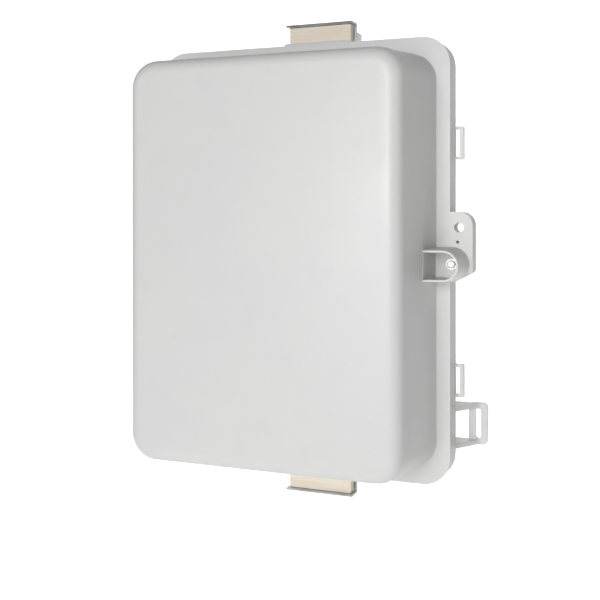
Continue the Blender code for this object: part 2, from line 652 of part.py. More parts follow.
    for number, (x, z) in enumerate(panel_screw_places(), 1):
        boss = round_bar("boss_%d" % number, "Y", (x, z), (PANEL_BACK + FIT_GAP, TUB_FLOOR + PAST),
                         BOSS_RADIUS)
        pilot = round_bar("boss_pilot_%d" % number, "Y", (x, z),
                          (PANEL_BACK - PAST, TUB_FLOOR + 1.2 * MM), PANEL_SCREW[0] + HOLE_PLAY, 16)
        add(base, boss)
        cut(base, pilot)

    for name, x, radius in (("port_hole", PORT_X, PORT_BARREL + HOLE_PLAY),
                            ("vent_hole", VENT_X, VENT[2] + HOLE_PLAY),
                            ("ground_hole", GROUND_X, GROUND_RADIUS + HOLE_PLAY)):
        cut(base, round_bar(name, "Z", (x, FITTING_Y), (-TUB_Z - 2 * PAST, -TUB_Z + TUB_WALL + 2 * PAST), radius))
    for name, x, z in bolt_places():
        cut(base, round_bar("tab_hole_" + name, "Y", (x, z),
                            (REAR_PLANE - PLATE_THICK - PAST, REAR_PLANE + PAST), BOLT_RADIUS + HOLE_PLAY))
    return base


def build_gasket():
    middle = GASKET_INSET
    half = GASKET_WIDTH / 2
    return slab("lid_gasket", [
        rounded_outline(EDGE_X - middle + half, EDGE_Z - middle + half, FLANGE_CORNER - middle + half),
        rounded_outline(EDGE_X - middle - half, EDGE_Z - middle - half, FLANGE_CORNER - middle - half),
    ], "Y", (LID_BACK + FIT_GAP, RIM_FRONT + GROOVE_DEPTH - FIT_GAP))


def build_hinge_pins():
    return [round_bar("hinge_pin_" + tag, "Z", (HINGE_X, HINGE_Y), around(middle, LOOP_HEIGHT + 1.6 * MM),
                      HINGE_PIN, 20) for tag, middle in hinge_zones().items()]


def build_latch():
    """Captive screw with its washer in the lid, and the brass insert in the base's ear."""
    floor = LID_PLANE - POCKET_FLOOR
    washer_y = (floor - FIT_GAP - WASHER[1], floor - FIT_GAP)
    washer = round_bar("latch_washer", "Y", (LATCH_X, LATCH_Z), washer_y, WASHER[0])
    cut(washer, round_bar("washer_hole", "Y", (LATCH_X, LATCH_Z), (washer_y[0] - PAST, washer_y[1] + PAST),
                          SCREW_SHANK + RUN_GAP, 20))
    head_back = washer_y[0] - FIT_GAP
    head = round_bar("latch_screw", "Y", (LATCH_X, LATCH_Z), (head_back - SCREW_HEAD[1], head_back), SCREW_HEAD[0])
    shank = round_bar("latch_shank", "Y", (LATCH_X, LATCH_Z),
                      (head_back - PAST, RIM_FRONT + EAR_THICK - PAST), SCREW_SHANK, 20)
    socket = round_bar("latch_socket", "Y", (LATCH_X, LATCH_Z),
                       (head_back - SCREW_HEAD[1] - PAST, head_back - SCREW_HEAD[1] + SCREW_SOCKET[1]), SCREW_SOCKET[0], 6)
    add(head, shank)
    cut(head, socket)
    insert_y = (RIM_FRONT + 2 * NUDGE, RIM_FRONT + EAR_THICK - 2 * NUDGE)
    insert = round_bar("latch_insert", "Y", (LATCH_X, LATCH_Z), insert_y, INSERT_RADIUS)
    cut(insert, round_bar("insert_bore", "Y", (LATCH_X, LATCH_Z),
                          (insert_y[0] - PAST, insert_y[1] + PAST), SCREW_SHANK + SCREW_PLAY, 20))
    return head, washer, insert


# ---------------------------------------------------------------- inside
def panel_screw_places():
    x = PANEL_X - BOSS_INSET
    z = PANEL_Z - BOSS_INSET
    return [(-x, z), (x, z), (-x, -z), (x, -z)]


def standoff_places():
    reach = ANTENNA_SIDE / 2 - STANDOFF_INSET
    return [(sx * reach, ANTENNA_Z + sz * reach) for sz in (1, -1) for sx in (-1, 1)]


def build_panel():
    panel = block("mounting_plate", both(PANEL_X), (PANEL_FRONT, PANEL_BACK), both(PANEL_Z),
                  PANEL_CORNER, steps=4)
    through = (PANEL_FRONT - PAST, PANEL_BACK + PAST)
    screws = []
    for number, (x, z) in enumerate(panel_screw_places(), 1):
        cut(panel, round_bar("plate_hole_%d" % number, "Y", (x, z), through, PANEL_SCREW[0] + HOLE_PLAY, 20))
        head_back = PANEL_FRONT - FIT_GAP
        head_front = head_back - PANEL_SCREW[2]
        screw = round_bar("plate_screw_%d" % number, "Y", (x, z), (head_front, head_back), PANEL_SCREW[1])
        add(screw, round_bar("plate_shank_%d" % number, "Y", (x, z), (head_back - PAST, TUB_FLOOR),
                             PANEL_SCREW[0], 16))
        cut(screw, block("plate_drive_%d" % number, around(x, PANEL_DRIVE[0]),
                         (head_front - PAST, head_front + PANEL_DRIVE[2]), around(z, PANEL_DRIVE[1])))
        screws.append(screw)
    for number, (x, z) in enumerate(standoff_places(), 1):
        cut(panel, round_bar("stud_hole_%d" % number, "Y", (x, z), through, STANDOFF_STUD + HOLE_PLAY, 20))
    return panel, screws


def build_antenna():
    reflector_back = LID_PLANE - ANTENNA_FRONT + ANTENNA_SHEET
    lip_front = reflector_back - ANTENNA_LIP
    half = ANTENNA_SIDE / 2
    z = (ANTENNA_Z - half, ANTENNA_Z + half)
    reflector = block("antenna_reflector", both(half), (lip_front, reflector_back), z, 4 * MM, steps=3)
    inside = (z[0] + ANTENNA_SHEET, z[1] - ANTENNA_SHEET)
    cut(reflector, block("reflector_tray", both(half - ANTENNA_SHEET),
                         (lip_front - PAST, reflector_back - ANTENNA_SHEET), inside, 3 * MM, steps=3))
    board_back = lip_front - FIT_GAP
    board = block("antenna_board", both(half), (board_back - BOARD_THICK, board_back), z, 4 * MM, steps=3)
    standoffs = []
    for number, (x, z_at) in enumerate(standoff_places(), 1):
        post = round_bar("antenna_standoff_%d" % number, "Y", (x, z_at),
                         (reflector_back + FIT_GAP, PANEL_FRONT - FIT_GAP), STANDOFF_RADIUS, 6)
        add(post, round_bar("standoff_stud_%d" % number, "Y", (x, z_at),
                            (PANEL_FRONT - 2 * PAST, PANEL_BACK + 2.5 * MM), STANDOFF_STUD, 16))
        standoffs.append(post)
    feeds = []
    for tag, x in (("left", -FEED_X), ("right", FEED_X)):
        base_y = reflector_back + FIT_GAP
        feed = round_bar("feed_connector_" + tag, "Y", (x, FEED_Z), (base_y, base_y + FEED_LENGTH), FEED_RADIUS)
        add(feed, block("feed_flange_" + tag, around(x, FEED_FLANGE[0]), (base_y, base_y + FEED_FLANGE[1]),
                        around(FEED_Z, FEED_FLANGE[0]), 1.5 * MM, steps=2))
        feeds.append(feed)
    return reflector, board, standoffs, feeds


def build_radio():
    back = PANEL_FRONT - FIT_GAP
    front = back - CARRIER_HEIGHT
    carrier = block("radio_carrier", RADIO_X, (front, back), RADIO_Z, 4 * MM, steps=3)
    cut(carrier, block("carrier_well", (RADIO_X[0] + CARRIER_RIM, RADIO_X[1] - CARRIER_RIM),
                       (front - PAST, back - CARRIER_FLOOR),
                       (RADIO_Z[0] + CARRIER_RIM, RADIO_Z[1] - CARRIER_RIM), CARRIER_RIM / 2, steps=3))
    board_back = front - FIT_GAP
    board_front = board_back - BOARD_THICK
    board = block("radio_board", (RADIO_X[0] + BOARD_MARGIN, RADIO_X[1] - BOARD_MARGIN), (board_front, board_back),
                  (RADIO_Z[0] + BOARD_MARGIN, RADIO_Z[1] - BOARD_MARGIN), 3 * MM, steps=3)
    top = board_front - FIT_GAP
    shield = block("radio_shield", SHIELD_X, (top - SHIELD_HEIGHT, top), SHIELD_Z, 1.5 * MM, steps=2)
    cut(shield, block("shield_hollow", (SHIELD_X[0] + SHIELD_WALL, SHIELD_X[1] - SHIELD_WALL),
                      (top - SHIELD_HEIGHT + SHIELD_LID, top + PAST),
                      (SHIELD_Z[0] + SHIELD_WALL, SHIELD_Z[1] - SHIELD_WALL)))
    pitch = (SHIELD_X[1] - SHIELD_X[0] - 2 * FIN_MARGIN) / (FIN_COUNT - 1)
    for number in range(FIN_COUNT):
        x = SHIELD_X[0] + FIN_MARGIN + number * pitch
        add(shield, block("fin_%d" % number, around(x, FIN_THICK),
                          (top - SHIELD_HEIGHT - FIN_HEIGHT, top - SHIELD_HEIGHT + PAST),
                          (SHIELD_Z[0] + FIN_MARGIN, SHIELD_Z[1] - FIN_MARGIN)))
    jacks = []
    for tag, x in zip(("left", "right"), COAX_X):
        jack = round_bar("coax_jack_" + tag, "Y", (x, COAX_Z), (top - COAX_HEIGHT, top), COAX_RADIUS)
        add(jack, block("coax_foot_" + tag, around(x, COAX_FOOT[0]), (top - COAX_FOOT[1], top), around(COAX_Z, COAX_FOOT[0])))
        jacks.append(jack)
    socket = block("ethernet_jack", around(JACK_X, JACK_SIZE[0]), (top - JACK_SIZE[1], top),
                   around(JACK_Z, JACK_SIZE[2]), 0.8 * MM, steps=2)
    return carrier, board, shield, jacks, socket, top


def build_surge():
    back = PANEL_FRONT - FIT_GAP
    case = block("surge_module", SURGE_X, (back - SURGE_HEIGHT, back), SURGE_Z, 3 * MM, steps=3)
    low = SURGE_Z[1] + FIT_GAP
    terminal = block("surge_terminal", (SURGE_X[0] + TERMINAL_INSET, SURGE_X[1] - TERMINAL_INSET),
                     (back - TERMINAL_HEIGHT, back), (low, low + TERMINAL_WIDTH), PAST, steps=2)
    span = SURGE_X[1] - SURGE_X[0] - 2 * TERMINAL_INSET
    for number in range(TERMINALS):
        x = SURGE_X[0] + TERMINAL_INSET + span * (number + 0.5) / TERMINALS
        cut(terminal, round_bar("terminal_screw_well_%d" % number, "Y", (x, low + TERMINAL_WIDTH / 2),
                                (back - TERMINAL_HEIGHT - PAST, back - TERMINAL_HEIGHT + TERMINAL_WELL[1]), TERMINAL_WELL[0], 12))
    return case, terminal


def build_leads(board_top):
    leads = []
    jack_front = board_top - COAX_HEIGHT - FIT_GAP
    feed_back = LID_PLANE - ANTENNA_FRONT + ANTENNA_SHEET + 2 * FIT_GAP + FEED_LENGTH
    for tag, start_x, end_x in (("left", COAX_X[0], -FEED_X), ("right", COAX_X[1], FEED_X)):
        drift = end_x - start_x
        rise = FEED_Z - COAX_Z
        run = feed_back - jack_front
        points = [(start_x + drift * across, jack_front + run * along, COAX_Z + rise * up)
                  for across, along, up in ((0, 0, 0), (0, 0.18, 0), (0.06, 0.36, 0.12), (0.32, 0.48, 0.40),
                                            (0.70, 0.54, 0.76), (0.95, 0.66, 0.96), (1, 0.83, 1), (1, 1, 1))]
        leads.append(lead("coax_lead_" + tag, points, COAX_CABLE))

    surge_x = SURGE_X[0] + 16 * MM
    surge_y = PANEL_FRONT - FIT_GAP - SURGE_HEIGHT / 2
    low = -TUB_Z + TUB_WALL + PORT_TAIL + FIT_GAP
    high = SURGE_Z[0] - FIT_GAP
    climb = high - low
    shift_x = surge_x - PORT_X
    shift_y = surge_y - FITTING_Y
    points = [(PORT_X + shift_x * s, FITTING_Y + shift_y * s, low + climb * t)
              for s, t in ((0, 0), (0.02, 0.15), (0.22, 0.36), (0.5, 0.5), (0.78, 0.64), (0.98, 0.85), (1, 1))]
    leads.append(lead("entry_lead", points, LEAD_RADIUS))

    jack_x = JACK_X + JACK_SIZE[0] / 2 + FIT_GAP
    surge_side = SURGE_X[0] - FIT_GAP
    y = board_top - JACK_SIZE[1] / 2
    z_end = JACK_Z + 16 * MM
    span = surge_side - jack_x
    climb = z_end - JACK_Z
    points = [(jack_x + span * t, y, JACK_Z + climb * s)
              for s, t in ((0, 0), (0.02, 0.2), (0.25, 0.4), (0.75, 0.6), (0.98, 0.8), (1, 1))]
    leads.append(lead("radio_lead", points, LEAD_RADIUS))
    return leads


# ---------------------------------------------------------------- bottom fittings
def build_port():
    outside = -TUB_Z
    inside = -TUB_Z + TUB_WALL
    at = (PORT_X, FITTING_Y)
    seal_z = (outside - FIT_GAP - PORT_SEAL, outside - FIT_GAP)
    seal = round_bar("port_gasket", "Z", at, seal_z, PORT_BARREL + PORT_FLANGE[0])
    cut(seal, round_bar("port_gasket_hole", "Z", at, (seal_z[0] - PAST, seal_z[1] + PAST),
                        PORT_BARREL + FIT_GAP))
    flange_top = seal_z[0] - FIT_GAP
    flange_low = flange_top - PORT_FLANGE[1]
    cap_top = flange_low - FIT_GAP
    cap_low = cap_top - CAP_HEIGHT
    disc_low = cap_low + CAP_TOP + FIT_GAP
    spigot_low = disc_low + CAP_SEAL + FIT_GAP
    body = round_bar("ethernet_port", "Z", at, (flange_low, flange_top), PORT_BARREL + PORT_FLANGE[0])
    add(body, round_bar("port_barrel", "Z", at, (spigot_low, inside + PORT_TAIL), PORT_BARREL))
    nut_z = (inside + FIT_GAP, inside + FIT_GAP + PORT_NUT_HEIGHT)
    nut = round_bar("port_nut", "Z", at, nut_z, PORT_NUT, 6)
    cut(nut, round_bar("port_nut_hole", "Z", at, (nut_z[0] - PAST, nut_z[1] + PAST), PORT_BARREL + FIT_GAP))

    cap = round_bar("port_cap", "Z", at, (cap_low, cap_top), CAP_RADIUS)
    cut(cap, round_bar("cap_hollow", "Z", at, (cap_low + CAP_TOP, cap_top + PAST), PORT_BARREL + RUN_GAP))
    disc = round_bar("port_cap_seal", "Z", at, (disc_low, disc_low + CAP_SEAL), PORT_BARREL - FIT_GAP)
    return body, seal, nut, cap, disc


def build_vent_and_ground():
    outside = -TUB_Z - FIT_GAP
    inside = -TUB_Z + TUB_WALL
    vent_at = (VENT_X, FITTING_Y)
    vent = round_bar("vent_plug", "Z", vent_at, (outside - VENT[1], outside), VENT[0])
    add(vent, round_bar("vent_stem", "Z", vent_at, (outside - PAST, inside + VENT_TAIL), VENT[2]))
    for number in range(4):
        angle = math.radians(45 + 90 * number)
        place = (VENT_X + VENT_SLOT[0] * math.cos(angle), FITTING_Y + VENT_SLOT[0] * math.sin(angle))
        cut(vent, round_bar("vent_slot_%d" % number, "Z", place, (outside - VENT[1] - PAST,
                                                                 outside - VENT[1] + VENT_SLOT[2]), VENT_SLOT[1], 12))
    ground_at = (GROUND_X, FITTING_Y)
    head = (inside + FIT_GAP, inside + FIT_GAP + HEAD_HEIGHT)
    stud = round_bar("ground_stud", "Z", ground_at, head, HEX_SIDE, 6)
    tail = outside - NUT_HEIGHT - GROUND_TAIL
    add(stud, round_bar("ground_shank", "Z", ground_at, (tail, head[0] + PAST), GROUND_RADIUS, 20))
    nut = round_bar("ground_nut", "Z", ground_at, (outside - NUT_HEIGHT, outside), HEX_SIDE, 6)
    cut(nut, round_bar("ground_nut_hole", "Z", ground_at, (outside - NUT_HEIGHT - PAST, outside + PAST),
                       GROUND_RADIUS + FIT_GAP, 20))
    return vent, stud, nut


# ---------------------------------------------------------------- pole hardware
def bracket_range(side):
    """Heights of a bracket's channel. side is 1 above the case and -1 below it."""
    outer = beyond(BRACKET_TOP, side)
    return sorted((side * outer, side * (outer - BRACKET_HEIGHT)))


def bolt_places():
    places = []
    for tag, side in (("upper", 1), ("lower", -1)):
        z = side * beyond(BRACKET_TOP - BRACKET_HEIGHT + BOLT_UP, side)
        places.append((tag + "_left", -BOLT_X, z))
        places.append((tag + "_right", BOLT_X, z))
    return places


def band_outline(offset):
    """Round the back of the pole, straight through the web and flat across inside the channel."""
    radius = POLE_DIAMETER / 2 + FIT_GAP + offset
    front = WEB_FRONT - FIT_GAP - offset
    return [(radius, front)] + arc(0, 0, radius, 0, 180, 28) + [(-radius, front)]


def build_pole_mount(tag, side):
    z_range = bracket_range(side)
    inner_z = (z_range[0] + BRACKET_STEEL, z_range[1] - BRACKET_STEEL)
    band_mid = side * beyond(BRACKET_TOP - BAND_DROP, side)
    band_z = around(band_mid, BAND_WIDTH)
    bracket = block("pole_bracket_" + tag, both(BRACKET_LENGTH / 2), (BRACKET_FRONT, WEB_BACK), z_range,
                    3 * MM, along="X", steps=3)
    cut(bracket, block("channel_" + tag, both(BRACKET_LENGTH / 2 + 2 * PAST), (BRACKET_FRONT - 2 * PAST, WEB_FRONT),
                       inner_z))
    band_radius = POLE_DIAMETER / 2 + FIT_GAP
    for end in (-1, 1):
        slot_x = around(end * (band_radius + BAND_THICK / 2), BAND_THICK + 2 * FIT_GAP)
        cut(bracket, block("band_slot_%s_%d" % (tag, end), slot_x, (WEB_FRONT - PAST, WEB_BACK + PAST),
                           around(band_mid, BAND_WIDTH + 2 * HOLE_PLAY)))

    step_z = side * beyond(TAB_RISE + FIT_GAP, side)
    block_x = both(BRACKET_LENGTH / 2 - BLOCK_MARGIN)
    spacer_z = (inner_z[0] + FIT_GAP, inner_z[1] - FIT_GAP)
    spacer = block("spacer_block_" + tag, block_x, (BRACKET_FRONT, WEB_FRONT - FIT_GAP), spacer_z)
    exposed = sorted((step_z, side * beyond(BRACKET_TOP + 2 * PAST, side)))
    cut(spacer, block("spacer_step_" + tag, both(BRACKET_LENGTH), (BRACKET_FRONT - 2 * PAST,
                                                                   BRACKET_FRONT + BLOCK_RECESS), exposed))
    groove_y = (WEB_FRONT - BAND_THICK - 4 * FIT_GAP, WEB_FRONT + PAST)
    cut(spacer, block("band_groove_" + tag, both(BRACKET_LENGTH), groove_y,
                      around(band_mid, BAND_WIDTH + 2 * HOLE_PLAY)))

    band = slab("clamp_band_" + tag, [band_outline(BAND_THICK), band_outline(0)], "Z", band_z)

    housing_y0 = band_radius + BAND_THICK + FIT_GAP
    housing = block("band_housing_" + tag, both(HOUSING[0] / 2), (housing_y0, housing_y0 + HOUSING[1]),
                    around(band_mid, HOUSING[2]), HOUSING_CORNER, along="X", steps=3)
    worm_y = housing_y0 + HOUSING[1] / 2
    reach = HOUSING[0] / 2
    cut(housing, round_bar("worm_bore_" + tag, "X", (worm_y, band_mid), both(reach + 2 * PAST),
                           WORM_RADIUS + RUN_GAP))
    screw = round_bar("band_screw_" + tag, "X", (worm_y, band_mid), (-reach - WORM_ENDS[0], reach + PAST), WORM_RADIUS)
    add(screw, round_bar("worm_head_" + tag, "X", (worm_y, band_mid),
                         (reach + WORM_ENDS[1], reach + WORM_ENDS[1] + WORM_HEAD[1]), WORM_HEAD[0], 6))
    cut(screw, block("worm_slot_" + tag, (reach + WORM_ENDS[1] + WORM_HEAD[1] - DRIVE_SLOT[1],
                                         reach + WORM_ENDS[1] + WORM_HEAD[1] + PAST),
                     around(worm_y, DRIVE_SLOT[0]), around(band_mid, 3 * WORM_HEAD[0])))

    bolts = []
    nuts = []
    for name, x, z in bolt_places():
        if not name.startswith(tag):
            continue
        head_back = REAR_PLANE - PLATE_THICK - FIT_GAP
        nut_y = (WEB_BACK + FIT_GAP, WEB_BACK + FIT_GAP + NUT_HEIGHT)
        bolt = round_bar("bracket_bolt_" + name, "Y", (x, z), (head_back - HEAD_HEIGHT, head_back), HEX_SIDE, 6)
        add(bolt, round_bar("bolt_shank_" + name, "Y", (x, z), (head_back - PAST, nut_y[1] + BOLT_TAIL),
                            BOLT_RADIUS, 20))
        hole = round_bar("bolt_hole_" + name, "Y", (x, z), (BRACKET_FRONT - PAST, WEB_BACK + PAST),
                         BOLT_RADIUS + HOLE_PLAY)
        cut(spacer, hole)
        cut(bracket, hole)
        nut = round_bar("bracket_nut_" + name, "Y", (x, z), nut_y, HEX_SIDE, 6)
        cut(nut, round_bar("nut_hole_" + name, "Y", (x, z), (nut_y[0] - PAST, nut_y[1] + PAST),
                           BOLT_RADIUS + FIT_GAP, 20))
        bolts.append(bolt)
        nuts.append(nut)
    carry("band_screw_axis_" + tag, (0, worm_y, band_mid), screw)
    return bracket, spacer, band, housing, screw, bolts, nuts


# ---------------------------------------------------------------- build
clear_scene()
parts = make_collection("outdoor_wireless_bridge")
cutters = make_collection("cutters")
cutters.hide_render = True

case_plastic = finish("case_plastic", (0.78, 0.78, 0.775), 0.5)
rubber = finish("rubber", (0.03, 0.03, 0.032), 0.8)
zinc = finish("zinc_steel", (0.62, 0.62, 0.64), 0.38, 1.0)
stainless = finish("stainless", (0.55, 0.55, 0.56), 0.28, 1.0)
brass = finish("brass", (0.70, 0.53, 0.26), 0.3, 1.0)
cream = finish("cream_block", (0.86, 0.77, 0.64), 0.6)
aluminium = finish("aluminium", (0.74, 0.75, 0.76), 0.35, 1.0)
board_green = finish("circuit_board", (0.03, 0.16, 0.08), 0.45)
dark_plastic = finish("dark_plastic", (0.04, 0.04, 0.045), 0.5)
cable_black = finish("cable_jacket", (0.02, 0.02, 0.02), 0.5)

lid = build_lid()
base = build_base()
gasket = build_gasket()
pins = build_hinge_pins()
latch_screw, latch_washer, latch_insert = build_latch()
panel, panel_screws = build_panel()
reflector, antenna_board, standoffs, feeds = build_antenna()
carrier, radio_board, shield, coax_jacks, ethernet_jack, board_top = build_radio()
surge_case, surge_terminal = build_surge()
leads = build_leads(board_top)
port, port_gasket, port_nut, port_cap, port_cap_seal = build_port()
vent, ground_stud, ground_nut = build_vent_and_ground()

paint(case_plastic, lid, base)
paint(rubber, gasket, port_gasket, port_cap_seal)
paint(stainless, latch_screw, latch_washer, *pins, *panel_screws)
paint(brass, latch_insert, ground_stud, ground_nut, *feeds, *coax_jacks)
paint(aluminium, panel, reflector, shield, *standoffs)
paint(board_green, radio_board, antenna_board)
paint(dark_plastic, carrier, ethernet_jack, surge_case, surge_terminal, port, port_nut, port_cap, vent)
paint(cable_black, *leads)

for tag, side in (("upper", 1), ("lower", -1)):
    bracket, spacer, band, housing, screw, bolts, nuts = build_pole_mount(tag, side)
    paint(zinc, bracket, *bolts, *nuts)
    paint(cream, spacer)
    paint(stainless, band, housing, screw)

carry("lid_hinge_axis", (HINGE_X, HINGE_Y, 0), lid, latch_screw, latch_washer)
carry("port_cap_axis", (PORT_X, FITTING_Y, 0), port_cap, port_cap_seal)
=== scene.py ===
import json
import math
import random

import bmesh
import bpy
from mathutils import Matrix, Vector


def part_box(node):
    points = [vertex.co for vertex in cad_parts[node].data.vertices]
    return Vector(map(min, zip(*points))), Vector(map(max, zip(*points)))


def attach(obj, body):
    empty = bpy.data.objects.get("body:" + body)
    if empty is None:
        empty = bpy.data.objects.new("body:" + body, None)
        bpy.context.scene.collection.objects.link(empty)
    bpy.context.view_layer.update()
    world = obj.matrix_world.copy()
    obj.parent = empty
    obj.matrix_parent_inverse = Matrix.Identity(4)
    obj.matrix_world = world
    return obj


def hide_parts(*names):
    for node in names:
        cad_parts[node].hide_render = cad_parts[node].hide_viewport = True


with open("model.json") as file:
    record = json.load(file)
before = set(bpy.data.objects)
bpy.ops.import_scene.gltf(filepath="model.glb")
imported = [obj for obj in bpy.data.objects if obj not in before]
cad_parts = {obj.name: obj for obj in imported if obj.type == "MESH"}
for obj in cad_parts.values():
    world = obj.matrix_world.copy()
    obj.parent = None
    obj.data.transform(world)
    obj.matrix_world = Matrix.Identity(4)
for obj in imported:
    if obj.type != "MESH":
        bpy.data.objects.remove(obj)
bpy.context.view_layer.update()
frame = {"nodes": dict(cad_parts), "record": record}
record = frame["record"]
bodyOf = {node: body for body, nodes in record["behaviour"]["bodies"].items() for node in nodes}

mm = 0.001


# shader expressions: a Wire is a socket that takes part in sums

class Wire:
    def __init__(self, socket):
        self.socket = socket

    def maths(self, operation, *values):
        tree = self.socket.id_data
        node = tree.nodes.new("ShaderNodeMath")
        node.operation = operation
        for place, value in zip(node.inputs, values):
            if isinstance(value, Wire):
                tree.links.new(value.socket, place)
            else:
                place.default_value = value
        return Wire(node.outputs[0])

    def __add__(self, other):
        return self.maths("ADD", self, other)

    def __radd__(self, other):
        return self.maths("ADD", other, self)

    def __sub__(self, other):
        return self.maths("SUBTRACT", self, other)

    def __rsub__(self, other):
        return self.maths("SUBTRACT", other, self)

    def __mul__(self, other):
        return self.maths("MULTIPLY", self, other)

    def __rmul__(self, other):
        return self.maths("MULTIPLY", other, self)

    def __gt__(self, other):
        return self.maths("GREATER_THAN", self, other)

    def __lt__(self, other):
        return self.maths("LESS_THAN", self, other)


class Finish:
    # one material: its nodes, and the shader that they feed
    def __init__(self, name, **fixed):
        self.material = bpy.data.materials.new(name)
        self.material.use_nodes = True
        self.tree = self.material.node_tree
        self.shader = self.tree.nodes["Principled BSDF"]
        for label, value in fixed.items():
            place = self.shader.inputs[label.replace("_", " ")]
            place.default_value = (*value, 1.0) if isinstance(value, tuple) else value
        self.place = self.add("TexCoord", {}, {}, "Object")

    def add(self, kind, settings, sockets, output=0):
        # any node: settings first, then values or links for its sockets
        node = self.tree.nodes.new("ShaderNode" + kind)
        for label, value in settings.items():
            if label == "stops":
                ramp = node.color_ramp
                while len(ramp.elements) < len(value):
                    ramp.elements.new(0.5)
                for stop, (at, tone) in zip(ramp.elements, value):
                    stop.position = at
                    stop.color = (*tone, 1.0) if isinstance(tone, tuple) else (tone, tone, tone, 1.0)
            else:
                setattr(node, label, value)
        for label, value in sockets.items():
            place = node.inputs[label]
            if isinstance(value, Wire):
                self.tree.links.new(value.socket, place)
            elif isinstance(value, tuple) and len(value) == 3 and place.type == "RGBA":
                place.default_value = (*value, 1.0)
            else:
                place.default_value = value
        return Wire(node.outputs[output])

    def stretched(self, x, y, z):
        return self.add("Mapping", {}, {"Vector": self.place, "Scale": (x, y, z)})

    def turned(self, degrees):
        # the object's front plane laid onto a texture's own plane
        return self.add("Mapping", {}, {"Vector": self.place, "Rotation": (math.radians(degrees), 0.0, 0.0)})

    def noise(self, scale, detail=3.0, rough=0.5, at=None):
        return self.add("TexNoise", {}, {"Vector": at or self.place, "Scale": scale, "Detail": detail,
                                         "Roughness": rough})

    def cells(self, scale, output="Distance"):
        return self.add("TexVoronoi", {}, {"Vector": self.place, "Scale": scale}, output)

    def ramp(self, value, *stops):
        return self.add("ValToRGB", {"stops": stops}, {"Fac": value})

    def spread(self, value, low, high, fromLow=0.0, fromHigh=1.0):
        return self.add("MapRange", {}, {"Value": value, "From Min": fromLow, "From Max": fromHigh,
                                         "To Min": low, "To Max": high})

    def blendTones(self, factor, a, b):
        return self.add("Mix", {"data_type": "RGBA"}, {0: factor, 6: a, 7: b}, 2)

    def apply(self, **links):
        for label, value in links.items():
            self.tree.links.new(value.socket, self.shader.inputs[label.replace("_", " ")])
        return self

    def bump(self, height, strength, distance):
        normal = self.add("Bump", {}, {"Height": height, "Strength": strength, "Distance": distance})
        return self.apply(Normal=normal)


# finishes

casePlastic = {
    "tone": (0.665, 0.668, 0.665), "shade": (0.595, 0.60, 0.60), "warm": (0.685, 0.682, 0.668),
    "roughness": (0.32, 0.46), "grain": 1100.0, "grainDepth": 0.05 * mm,
}


def makeCasePlastic():
    f = Finish("case_plastic", Specular_IOR_Level=0.42, IOR=1.5, Coat_Weight=0.0)
    clouds = f.noise(7.0, 4.0, 0.55)
    patches = f.noise(38.0, 5.0, 0.6)
    specks = f.noise(420.0, 2.0, 0.5)
    tone = f.blendTones(f.spread(clouds, 0.0, 0.55, 0.35, 0.7), casePlastic["tone"], casePlastic["warm"])
    tone = f.blendTones(f.spread(patches, 0.0, 0.30, 0.5, 0.85), tone, casePlastic["shade"])
    tone = f.blendTones(f.spread(specks, 0.0, 0.35, 0.64, 0.78), tone, casePlastic["shade"])
    low, high = casePlastic["roughness"]
    rough = f.spread(f.noise(16.0, 5.0, 0.65), low, high, 0.3, 0.7)
    grain = f.cells(casePlastic["grain"]) * 0.6 + f.noise(casePlastic["grain"] * 0.7, 2.0, 0.6)
    f.apply(Base_Color=tone, Roughness=rough)
    return f.bump(grain + f.noise(26.0, 2.0, 0.5) * 2.2, 0.22, casePlastic["grainDepth"]).material


# the other finishes' tones, from the base one to the ones that lie over it
tones = {
    # the first rubber tone is painted shade for the pores
    "rubber": (0.008, 0.022, 0.045),
    "stainless": ((0.38, 0.38, 0.385), (0.56, 0.555, 0.55), (0.32, 0.30, 0.28)),
    "brass": ((0.78, 0.58, 0.27), (0.47, 0.32, 0.15)),
    "gold": ((0.92, 0.68, 0.30), (0.83, 0.58, 0.24)),
    "mask": ((0.006, 0.070, 0.030), (0.014, 0.125, 0.055), (0.03, 0.18, 0.08), (0.50, 0.40, 0.18)),
    "laminate": ((0.50, 0.52, 0.36), (0.60, 0.60, 0.44), (0.42, 0.46, 0.30)),
    "copper": ((0.93, 0.62, 0.46), (0.62, 0.34, 0.22)),
    # the screw's near-white tone is a painted highlight
    "bright": ((0.97, 0.94, 0.88), (0.80, 0.77, 0.70)),
    "cable": ((0.016, 0.016, 0.017), (0.055, 0.055, 0.056)),
    "tin": ((0.72, 0.72, 0.70), (0.86, 0.85, 0.82)),
}


def makeFoamRubber():
    f = Finish("foam_rubber", Specular_IOR_Level=0.25)
    pores = f.cells(900.0)
    # the pores are painted darker than the skin: painted shade in their hollows
    pore_shade, middle, skin = tones["rubber"]
    tone = f.ramp(pores, (0.0, pore_shade), (0.35, middle), (1.0, skin))
    f.apply(Base_Color=tone, Roughness=f.spread(f.noise(300.0), 0.72, 0.95))
    return f.bump(pores, 0.6, 0.12 * mm).material


zincSteel = {"tone": (0.52, 0.525, 0.54), "dull": (0.38, 0.385, 0.40), "bloom": (0.60, 0.60, 0.60),
             "spangle": 95.0}


def makeZincSteel():
    f = Finish("zinc_steel", Metallic=0.72)
    spangle = f.cells(zincSteel["spangle"], "Color")
    facets = f.add("SeparateColor", {}, {"Color": spangle})
    fine = f.noise(55.0, 6.0, 0.7)
    tone = f.blendTones(facets, zincSteel["dull"], zincSteel["tone"])
    tone = f.blendTones(f.spread(fine, 0.0, 0.7, 0.5, 0.75), tone, zincSteel["bloom"])
    drawn = f.noise(900.0, 2.0, 0.5, f.stretched(0.03, 1.0, 1.0))
    f.apply(Base_Color=tone, Roughness=f.spread(facets, 0.30, 0.46) + fine * 0.12)
    return f.bump(drawn + fine * 2.0, 0.35, 0.05 * mm).material


